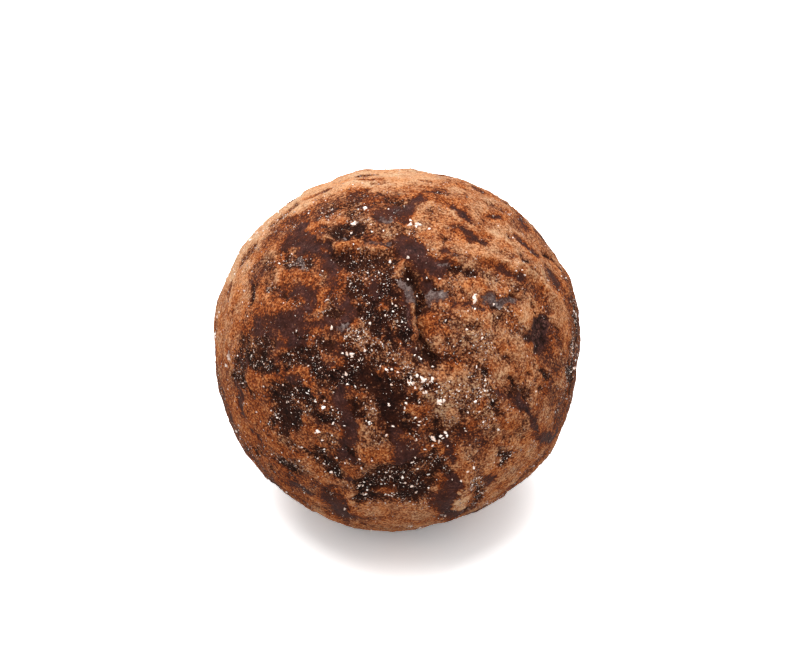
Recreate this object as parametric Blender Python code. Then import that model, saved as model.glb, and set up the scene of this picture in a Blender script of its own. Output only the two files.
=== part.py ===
"""Chocolate truffle, about 30 mm across.

A ball of dark ganache is rolled between the palms, dipped in a thin coat of dark chocolate that
smears and folds as it sets, and tumbled in cocoa. It is uncut, so it is one solid, and it rests
on a small flat spot where its weight has pressed it. Units are metres, +Z is up, and the origin
is the middle of that spot. The side with the boldest folds faces front (-Y) and up.
"""

import math
import random

import bmesh
import bpy
from mathutils import Vector, noise

MM = 0.001

# Driving dimensions
BALL_RADIUS = 15.1 * MM
HALF_AXES = (1.002, 1.0, 0.998)  # the palms leave the ball a trace wide and low
FOOT_DEPTH = 0.62 * MM  # how much of the ball's bottom is pressed flat
GRID = 26  # squares along each edge of the cube that the ball is blown up from

# Unevenness of the rolled ball: size of the lumps, and how far they stand out
LUMPS = ((7.0 * MM, 0.13 * MM), (2.6 * MM, 0.07 * MM))

# Places on the ball are given as degrees east and north of the middle of the show side,
# which faces front and this far above the horizon.
SHOW_TILT = math.radians(35.5)
SHOW_RIGHT = Vector((1.0, 0.0, 0.0))
SHOW_UP = Vector((0.0, math.sin(SHOW_TILT), math.cos(SHOW_TILT)))
SHOW_OUT = Vector((0.0, -math.cos(SHOW_TILT), math.sin(SHOW_TILT)))

# Where the palms pressed or the paste bulged: east, north, half width in degrees, height
PRESSES = (
    (84, 21, 20, 0.36 * MM),
    (20, 82, 24, -0.18 * MM),
    (-84, 32, 16, 0.14 * MM),
    (-84, 4, 8, 0.10 * MM),
    (-78, -66, 18, 0.22 * MM),
    (8, -84, 14, -0.14 * MM),
    (82, -11, 9, -0.22 * MM),
    (82, -38, 20, 0.20 * MM),
    (10, 12, 16, -0.12 * MM),
    (-36, 14, 20, 0.10 * MM),
)

# Folds of the coat: height, width on the left and on the right of its run, and its run.
# A height below zero is a crease. The narrower side is the steeper one.
FOLDS = (
    # ledge across the upper left, steep below
    (0.34 * MM, 1.9 * MM, 0.7 * MM, ((-34, 31), (-27, 34), (-19, 33), (-10, 32), (-2, 31))),
    # smear that carries on from it to the right
    (0.26 * MM, 1.3 * MM, 1.0 * MM, ((-2, 31), (8, 29), (20, 28), (30, 28), (42, 26), (56, 18))),
    # the split below the middle of the two
    (-0.62 * MM, 0.9 * MM, 0.9 * MM, ((4, 27), (6, 21), (8, 15), (8, 9), (10, 2), (13, -5))),
    # lip that stands up along the split's left edge
    (0.24 * MM, 1.0 * MM, 0.6 * MM, ((1, 22), (4, 16), (6, 11), (7, 4))),
    # band that arches over the top
    (0.20 * MM, 0.9 * MM, 0.9 * MM, ((1, 36), (6, 48), (14, 54), (28, 57))),
    # fold down the left of the middle
    (0.22 * MM, 1.1 * MM, 1.1 * MM, ((-25, 29), (-19, 21), (-16, 9), (-20, 3))),
    # smear at the far left and the hollow under it
    (0.22 * MM, 1.0 * MM, 1.3 * MM, ((-48, 12), (-38, 11), (-28, 12), (-22, 16))),
    (-0.26 * MM, 1.3 * MM, 1.3 * MM, ((-42, 5), (-34, 3), (-27, 1), (-20, 2))),
    # arc at the lower right
    (0.24 * MM, 0.8 * MM, 1.2 * MM, ((30, -12), (40, -15), (52, -22), (64, -28), (74, -27))),
    # pitted hollow at the right
    (-0.34 * MM, 1.6 * MM, 1.6 * MM, ((46, 7), (50, 2), (53, -5))),
    # two folds that run down to the base
    (0.26 * MM, 0.9 * MM, 0.9 * MM, ((-10, -19), (-10, -28), (-13, -39), (-20, -50))),
    (0.26 * MM, 0.9 * MM, 0.9 * MM, ((25, -30), (29, -38), (29, -46), (24, -57))),
    (-0.22 * MM, 1.6 * MM, 1.6 * MM, ((10, -30), (9, -38), (8, -46))),
    (-0.20 * MM, 1.2 * MM, 1.2 * MM, ((-18, -12), (-15, -22), (-16, -33))),
)

# Folds on the sides, back and base: how many, and the range that each is drawn from
OTHER_FOLDS = 26
OTHER_SEED = 11
OTHER_HEIGHT = (-0.34 * MM, 0.30 * MM)
OTHER_WIDTH = (0.8 * MM, 1.7 * MM)
OTHER_STEPS = (3, 5)
OTHER_STEP = math.radians(13)
OTHER_TURN = 0.55
SHOW_EDGE = 0.15  # a fold that strays onto the show side starts at least this far behind it

FADE = 0.35  # part of a fold's run over which it rises at its start and sinks at its end
CURVE_STEPS = 6  # straight pieces for each stretch between two points of a fold

COCOA_BROWN = (0.195, 0.075, 0.026, 1.0)
COAT_ROUGHNESS = 0.82


def clear_scene():
    """Removes every object, so that the script gives the same result each time."""
    for thing in list(bpy.data.objects):
        bpy.data.objects.remove(thing, do_unlink=True)


def place(east, north):
    """The direction from the ball's middle to a place on the show side, given in degrees."""
    east, north = math.radians(east), math.radians(north)
    return (
        math.sin(east) * math.cos(north) * SHOW_RIGHT
        + math.sin(north) * SHOW_UP
        + math.cos(east) * math.cos(north) * SHOW_OUT
    )


def smooth_run(points):
    """A fine line over the ball through the points, by Catmull-Rom interpolation."""
    ends = [points[0] * 2 - points[1], *points, points[-1] * 2 - points[-2]]
    run = []
    for before, start, end, after in zip(ends, ends[1:], ends[2:], ends[3:]):
        for step in range(CURVE_STEPS):
            t = step / CURVE_STEPS
            run.append(
                0.5 * (
                    2 * start
                    + (end - before) * t
                    + (2 * before - 5 * start + 4 * end - after) * t**2
                    + (3 * start - before - 3 * end + after) * t**3
                )
            )
    run.append(points[-1])
    return [point.normalized() for point in run]


def other_folds():
    """Folds for the rest of the ball: each wanders from a random start, like those in front."""
    draw = random.Random(OTHER_SEED)
    folds = []
    while len(folds) < OTHER_FOLDS:
        here = Vector([draw.gauss(0, 1) for _ in range(3)]).normalized()
        heading = Vector([draw.gauss(0, 1) for _ in range(3)]).cross(here).normalized()
        if here.dot(SHOW_OUT) > -SHOW_EDGE:
            continue
        points = [here]
        for _ in range(draw.randint(*OTHER_STEPS)):
            sideways = here.cross(heading) * draw.uniform(-OTHER_TURN, OTHER_TURN)
            onward = (heading + sideways).normalized()
            new = (here * math.cos(OTHER_STEP) + onward * math.sin(OTHER_STEP)).normalized()
            heading = (onward - new * onward.dot(new)).normalized()
            here = new
            points.append(here)
        left, right = draw.uniform(*OTHER_WIDTH), draw.uniform(*OTHER_WIDTH)
        folds.append((draw.uniform(*OTHER_HEIGHT), left, right, smooth_run(points)))
    return folds


def fold_height(direction, height, left, right, run):
    """How far a fold lifts the surface at a direction: a rounded ridge that fades at its ends."""
    best, along, side = None, 0.0, 1.0
    for index, (start, end) in enumerate(zip(run, run[1:])):
        piece = end - start
        t = min(1.0, max(0.0, (direction - start).dot(piece) / piece.length_squared))
        gap = (start + piece * t - direction).length
        if best is None or gap < best:
            best, along = gap, (index + t) / (len(run) - 1)
            side = direction.dot(start.cross(end))
    width = left if side > 0 else right
    ends = min(1.0, along / FADE, (1.0 - along) / FADE)
    return height * math.sin(ends * math.pi / 2) * math.exp(-((best * BALL_RADIUS / width) ** 2))


def ball_radius(direction, folds):
    """The distance from the ball's middle to its surface in a direction."""
    radius = BALL_RADIUS
    for size, height in LUMPS:
        radius += height * noise.noise(direction * (BALL_RADIUS / size))
    for east, north, half_width, height in PRESSES:
        angle = direction.angle(place(east, north))
        radius += height * math.exp(-((angle / math.radians(half_width)) ** 2))
    for fold in folds:
        radius += fold_height(direction, *fold)
    return radius


def cocoa_material():
    """Dark chocolate under cocoa: a matt brown."""
    material = bpy.data.materials.new("cocoa_dusted_chocolate")
    material.use_nodes = True
    shader = material.node_tree.nodes["Principled BSDF"]
    shader.inputs["Base Color"].default_value = COCOA_BROWN
    shader.inputs["Roughness"].default_value = COAT_ROUGHNESS
    shader.inputs["Metallic"].default_value = 0.0
    return material


def blow_up(mesh, folds):
    """Turns a cube of squares into the ball, and presses its bottom flat."""
    for vertex in mesh.verts:
        even = Vector([math.tan(c * math.pi / 4) for c in vertex.co])
        direction = even.normalized()
        shape = Vector([a * b for a, b in zip(direction, HALF_AXES)])
        vertex.co = shape * ball_radius(direction, folds)
    foot = min(vertex.co.z for vertex in mesh.verts) + FOOT_DEPTH
    for vertex in mesh.verts:
        vertex.co.z = max(vertex.co.z, foot) - foot
    for axis in (0, 1):
        places = [vertex.co[axis] for vertex in mesh.verts]
        middle = (min(places) + max(places)) / 2
        for vertex in mesh.verts:
            vertex.co[axis] -= middle


def make_truffle(collection):
    """The truffle: one solid."""
    folds = [(h, l, r, smooth_run([place(*p) for p in run])) for h, l, r, run in FOLDS]
    folds += other_folds()
    shape = bmesh.new()
    bmesh.ops.create_cube(shape, size=2.0)
    bmesh.ops.subdivide_edges(shape, edges=shape.edges[:], cuts=GRID - 1, use_grid_fill=True)
    blow_up(shape, folds)
    bmesh.ops.triangulate(shape, faces=shape.faces[:])
    bmesh.ops.recalc_face_normals(shape, faces=shape.faces[:])
    mesh = bpy.data.meshes.new("truffle")
    shape.to_mesh(mesh)
    shape.free()
    mesh.shade_smooth()
    mesh.materials.append(cocoa_material())
    truffle = bpy.data.objects.new("truffle", mesh)
    collection.objects.link(truffle)
    return truffle


def main():
    clear_scene()
    collection = bpy.data.collections.new("chocolate_truffle")
    bpy.context.scene.collection.children.link(collection)
    make_truffle(collection)


main()
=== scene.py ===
# %% [markdown]
# # A chocolate truffle, rolled by hand
# This lesson finishes one piece of confectionery. The solid ball is already built, at its real
# size, with its flat spot to rest on and its larger folds. Here it gets what the eye reads as
# chocolate: a thin coat that smeared as it set, cocoa caked on it, bare places, and sugar.
# We start by loading the solid as a fixed frame, in metres, and fitting a centre and radius to
# it, because every later step works outwards from the middle of the ball.

import math
import random

import bpy
import numpy as np
from mathutils import Matrix, Vector, noise
from mathutils.bvhtree import BVHTree


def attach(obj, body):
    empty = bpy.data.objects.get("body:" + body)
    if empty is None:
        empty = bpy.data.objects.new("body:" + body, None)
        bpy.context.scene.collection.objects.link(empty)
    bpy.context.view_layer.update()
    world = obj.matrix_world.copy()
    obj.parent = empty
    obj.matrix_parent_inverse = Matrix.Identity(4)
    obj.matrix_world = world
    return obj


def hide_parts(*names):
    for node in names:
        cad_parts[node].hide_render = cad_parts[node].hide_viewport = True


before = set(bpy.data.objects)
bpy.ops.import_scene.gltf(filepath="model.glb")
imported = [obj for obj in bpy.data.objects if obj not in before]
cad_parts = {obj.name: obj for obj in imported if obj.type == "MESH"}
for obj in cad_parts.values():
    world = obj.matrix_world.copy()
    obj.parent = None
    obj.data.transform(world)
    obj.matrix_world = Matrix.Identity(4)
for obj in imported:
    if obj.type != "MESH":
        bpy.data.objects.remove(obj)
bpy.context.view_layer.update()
MM = 0.001


def corners(mesh):
    """A mesh's vertices as rows of x, y and z."""
    flat = np.empty(len(mesh.vertices) * 3)
    mesh.vertices.foreach_get("co", flat)
    return flat.reshape(-1, 3)


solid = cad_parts["truffle"]
points = corners(solid.data)
rounded = points[points[:, 2] > 0.1 * MM]
equations = np.column_stack([2 * rounded, np.ones(len(rounded))])
answer = np.linalg.lstsq(equations, (rounded**2).sum(axis=1), rcond=None)[0]
middle = Vector(answer[:3])
radius = math.sqrt(answer[3] + answer[:3] @ answer[:3])
print(f"ball: radius {radius / MM:.2f} mm, middle at {middle.z / MM:.2f} mm above the table")

# %% [markdown]
# ## The show side
# The ball has no corners to measure from, so its marks are placed the way a globe's are: so many
# degrees east and north of one point. That point is the middle of the side with the boldest
# folds, which faces front and up, as it would when you look down at a sweet on a table.

# %% Directions on the ball
show_tilt = math.radians(35.5)
show_right = np.array([1.0, 0.0, 0.0])
show_up = np.array([0.0, math.sin(show_tilt), math.cos(show_tilt)])
show_out = np.array([0.0, -math.cos(show_tilt), math.sin(show_tilt)])


def place(east, north):
    """The direction, from the middle of the ball, of a place on the show side in degrees."""
    east, north = math.radians(east), math.radians(north)
    return (
        math.sin(east) * math.cos(north) * show_right
        + math.sin(north) * show_up
        + math.cos(east) * math.cos(north) * show_out
    )


# %% [markdown]
# ## Camera
# A long lens, close in, looks down along the show side's own axis. It is moved a little sideways
# and up without turning, so that the ball keeps its place in the frame and its shadow has room.

# %% Camera
camera_data = bpy.data.cameras.new("camera")
camera_data.lens = 100
camera_data.clip_start = 10 * MM
camera = bpy.data.objects.new("camera", camera_data)
bpy.context.scene.collection.objects.link(camera)
camera_distance = 186.3 * MM
camera_right, camera_rise = 0.26 * MM, 2.00 * MM
camera.location = (
    middle
    + Vector(show_out) * camera_distance
    + Vector(show_right) * camera_right
    + Vector(show_up) * camera_rise
)
camera.rotation_euler = (math.pi / 2 - show_tilt, 0, 0)
bpy.context.scene.camera = camera
print(f"camera: {camera_data.lens:.0f} mm lens, {camera_distance / MM:.0f} mm from the middle")

# %% [markdown]
# ## Nodes and colours
# Two small helpers serve every material below. One adds a shader node with its settings and
# links. The other turns a colour as a painter writes it, a hex code, into the linear light that
# Blender calculates with.


# %% Helpers for materials
def linear(code):
    """A hex colour such as #b5642a as linear red, green, blue and alpha."""
    parts = [int(code[i : i + 2], 16) / 255 for i in (1, 3, 5)]
    return (*[p / 12.92 if p <= 0.04045 else ((p + 0.055) / 1.055) ** 2.4 for p in parts], 1.0)


def in_use(sockets, key=None):
    """The socket with a number, or the first one in use with a name, or with any name."""
    if isinstance(key, int):
        return sockets[key]
    return next(s for s in sockets if s.enabled and key in (None, s.name))


def add(tree, kind, inputs=None, **settings):
    """Adds a node; each input takes a value, another node, or one output of a node."""
    new = tree.nodes.new(kind)
    for name, value in settings.items():
        setattr(new, name, value)
    for key, value in (inputs or {}).items():
        if isinstance(value, bpy.types.Node):
            value = in_use(value.outputs)
        if isinstance(value, bpy.types.NodeSocket):
            tree.links.new(value, in_use(new.inputs, key))
        else:
            in_use(new.inputs, key).default_value = value
    return new


def new_material(name, roughness):
    """A material with its tree and its Principled shader."""
    material = bpy.data.materials.new(name)
    material.use_nodes = True
    principled = material.node_tree.nodes["Principled BSDF"]
    principled.inputs["Roughness"].default_value = roughness
    return material, material.node_tree, principled


# %% [markdown]
# ## Table and light
# The sweet stands on a white paper sweep that is lit brightly enough to burn out to white, which
# is how packshots are taken. One large softbox hangs overhead, so the top of the ball is
# brightest and a soft shadow lies round its base. The room fills in from all round.
# A packshot is often cut out and laid on pure white, which throws no light back up at the sweet.
# The Light Path node gives the same here: the paper and the room look white to the camera, and
# are duller to the light that bounces between them and the ball.

# %% Table and light
table_half = 1.5
table_mesh = bpy.data.meshes.new("table")
table_mesh.from_pydata(
    [(x * table_half, y * table_half, 0) for x, y in ((-1, -1), (1, -1), (1, 1), (-1, 1))],
    [],
    [(0, 1, 2, 3)],
)
table = bpy.data.objects.new("table", table_mesh)
bpy.context.scene.collection.objects.link(table)
PAPER_SEEN, PAPER_BOUNCE = 1.60, 0.60  # how much light the paper sends to the camera, and on
PAPER_GLOW = 0.05  # light through the paper from below, which lifts the shadow
ROOM_SEEN, ROOM_LIGHT = 1.6, 0.86  # how bright the room looks, and how much it lights
paper, paper_nodes, paper_shader = new_material("white_paper_sweep", 0.9)
seen = add(paper_nodes, "ShaderNodeLightPath").outputs["Is Camera Ray"]
greys = {"Factor": seen, "A": (*[PAPER_BOUNCE] * 3, 1.0), "B": (*[PAPER_SEEN] * 3, 1.0)}
paper_grey = add(paper_nodes, "ShaderNodeMix", greys, data_type="RGBA")
paper_nodes.links.new(in_use(paper_grey.outputs), paper_shader.inputs["Base Color"])
glow = add(paper_nodes, "ShaderNodeMath", {0: seen, 1: PAPER_GLOW}, operation="MULTIPLY")
paper_nodes.links.new(in_use(glow.outputs), paper_shader.inputs["Emission Strength"])
paper_shader.inputs["Specular IOR Level"].default_value = 0.1
table_mesh.materials.append(paper)

world = bpy.data.worlds.new("bright_room")
world.use_nodes = True
room = world.node_tree.nodes["Background"]
room.inputs["Color"].default_value = (1.0, 1.0, 1.0, 1.0)
seen = add(world.node_tree, "ShaderNodeLightPath").outputs["Is Camera Ray"]
strengths = {"Value": seen, "To Min": ROOM_LIGHT, "To Max": ROOM_SEEN}
strength = add(world.node_tree, "ShaderNodeMapRange", strengths)
world.node_tree.links.new(in_use(strength.outputs), room.inputs["Strength"])
bpy.context.scene.world = world


def softbox(name, width, power, position):
    """A square area light that faces the ball."""
    light = bpy.data.lights.new(name, "AREA")
    light.size = width
    light.energy = power
    lamp = bpy.data.objects.new(name, light)
    bpy.context.scene.collection.objects.link(lamp)
    lamp.location = position
    lamp.rotation_euler = (Vector(position) - middle).to_track_quat("Z", "Y").to_euler()


softbox("softbox_above", 0.46, 3.4, (-0.04, 0.05, 0.45))
bpy.context.scene.view_settings.view_transform = "Standard"
bpy.context.scene.view_settings.look = "None"

# %% [markdown]
# ## The coat as a mesh
# The coat needs far finer relief than the solid has. A cube with its faces cut into squares and
# blown up into a ball has even squares all over, with no pole where they crowd, so it is a better
# start than a globe of slices. Each of its points is then dropped on to the solid, so the folds
# that are already modelled carry over. The six faces of the cube also make a tidy texture map.

# %% Blow up a cube into the coat
import bmesh

CUT_LEVELS = 7  # each level halves the squares: 128 squares along each edge of the cube
MAP_COLUMNS, MAP_ROWS, MAP_MARGIN = 3, 2, 0.012

cube = bmesh.new()
bmesh.ops.create_cube(cube, size=2.0)
uv_layer = cube.loops.layers.uv.new("OFBake")
for number, face in enumerate(cube.faces):
    column, row = number % MAP_COLUMNS, number // MAP_COLUMNS
    for loop, (u, v) in zip(face.loops, ((0, 0), (1, 0), (1, 1), (0, 1))):
        u = MAP_MARGIN + u * (1 - 2 * MAP_MARGIN)
        v = MAP_MARGIN + v * (1 - 2 * MAP_MARGIN)
        loop[uv_layer].uv = ((column + u) / MAP_COLUMNS, (row + v) / MAP_ROWS)
cube_mesh = bpy.data.meshes.new("coat_cube")
cube.to_mesh(cube_mesh)
cube.free()
cube_object = bpy.data.objects.new("coat_cube", cube_mesh)
bpy.context.scene.collection.objects.link(cube_object)
cuts = cube_object.modifiers.new("cuts", "SUBSURF")
cuts.subdivision_type = "SIMPLE"
cuts.levels = cuts.render_levels = CUT_LEVELS
bpy.context.view_layer.update()
coat_mesh = bpy.data.meshes.new_from_object(cube_object.evaluated_get(bpy.context.evaluated_depsgraph_get()))
bpy.data.objects.remove(cube_object)
coat_mesh.name = "truffle_coat"

evened = np.tan(corners(coat_mesh) * (math.pi / 4))
ways = evened / np.linalg.norm(evened, axis=1, keepdims=True)
edges = np.empty(len(coat_mesh.edges) * 2, dtype=np.int64)
coat_mesh.edges.foreach_get("vertices", edges)
edges = edges.reshape(-1, 2)
neighbours = np.bincount(edges.ravel(), minlength=len(ways))


def smoothed(values, rounds):
    """A field over the coat's points, each averaged with its neighbours a few times over."""
    for _ in range(rounds):
        sums = np.bincount(edges[:, 0], values[edges[:, 1]], len(ways))
        sums += np.bincount(edges[:, 1], values[edges[:, 0]], len(ways))
        values = 0.5 * values + 0.5 * sums / neighbours
    return values


tree = BVHTree.FromObject(solid, bpy.context.evaluated_depsgraph_get())
reach = np.array([tree.ray_cast(middle, Vector(way))[3] for way in ways])
reach = smoothed(reach, 14)
print(f"coat: {len(ways)} points, {2 * len(coat_mesh.polygons)} triangles")

# %% [markdown]
# ## Finishes of the coat
# Look closely at a rolled truffle and you see only a few finishes, again and again. Each row
# below is one of them, as a maker would describe it: how thick the cocoa powder lies (0 is none
# and 1 is a full cake), how gritty it is, whether what is under the powder is a smooth film of
# chocolate or torn and dark, whether it is bare and bloomed grey, how pale the powder is, how
# much sugar is stuck in it, how far it stands out in mm, and how lumpy it is in mm. A recipe
# like this keeps hundreds of marks in step: change one row and all marks of that kind follow.
# Some marks paint light as well as a finish: pale on the top rim and on ridge crests is partly
# painted highlight, and film, dusky, torn and pit under ridges, in cracks and along the right
# rim are partly painted shade.

# %% Finishes
FIELDS = ("powder", "grit", "film", "bare", "pale", "sugar", "lift", "lumps")
FINISHES = {
    "torn": (-0.04, 0.95, 0.0, 0.0, 0.55, 1.00, -0.080, 0.045),
    "peeled": (-0.10, 0.60, 0.52, 0.0, 0.30, 0.08, -0.100, 0.020),
    # pit: torn chocolate in a dent; its dark colour is also painted shade for the inside of pits and cracks
    "pit": (-0.06, 0.70, 0.0, 0.0, 0.60, 0.15, -0.160, 0.020),
    "film": (-0.02, 0.60, 1.0, 0.0, 0.10, 0.08, 0.070, 0.006),
    "dusky": (0.22, 0.95, 0.8, 0.0, 0.25, 0.25, 0.010, 0.020),
    "mixed": (0.26, 1.15, 0.3, 0.0, 0.55, 0.60, 0.000, 0.035),
    "crumbly": (0.47, 1.25, 0.0, 0.0, 0.62, 1.20, 0.020, 0.050),
    "cocoa": (0.62, 0.72, 0.7, 0.0, 0.36, 0.15, 0.020, 0.014),
    "rust": (0.45, 0.80, 0.8, 0.0, 0.00, 0.08, 0.030, 0.012),
    # pale: pale caked powder, also laid as painted highlight on the top rim and on ridge crests
    "pale": (0.84, 0.34, 0.6, 0.0, 0.64, 0.20, 0.040, 0.006),
    "sugary": (0.10, 1.20, 0.2, 0.3, 0.95, 1.90, 0.020, 0.050),
    "bare": (-0.04, 0.60, 0.3, 1.0, 0.50, 0.10, -0.040, 0.004),
}

# %% Ground of each part of the show side: finish, east, north and half width in degrees
GROUND = (
    ("dusky", 0, 0, 60),
    # the two pale grounds on the upper left and top rim: pale powder, and painted highlight for the haze
    # that the light from above and behind gives the top of the ball
    ("pale", -78, 34, 30),
    ("pale", -10, 82, 26),
    ("cocoa", -68, 4, 20),
    ("rust", -62, -32, 24),
    ("cocoa", 32, 44, 30),
    ("cocoa", 62, 18, 22),
    ("cocoa", 38, 0, 16),
    # torn on the right rim: dark chocolate, and partly painted shade on the side away from the light
    ("torn", 82, 2, 10),
    ("cocoa", 56, -30, 26),
    ("mixed", 24, -14, 18),
    ("torn", -6, 14, 15),
    ("torn", -4, -16, 13),
    ("torn", 6, -42, 12),
    ("torn", -32, -16, 10),
    ("mixed", -26, -32, 12),
    ("dusky", -34, 8, 16),
    ("cocoa", -48, 24, 12),
    ("mixed", -14, 44, 14),
    ("cocoa", 0, -66, 16),
    ("dusky", -30, -56, 12),
)

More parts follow.
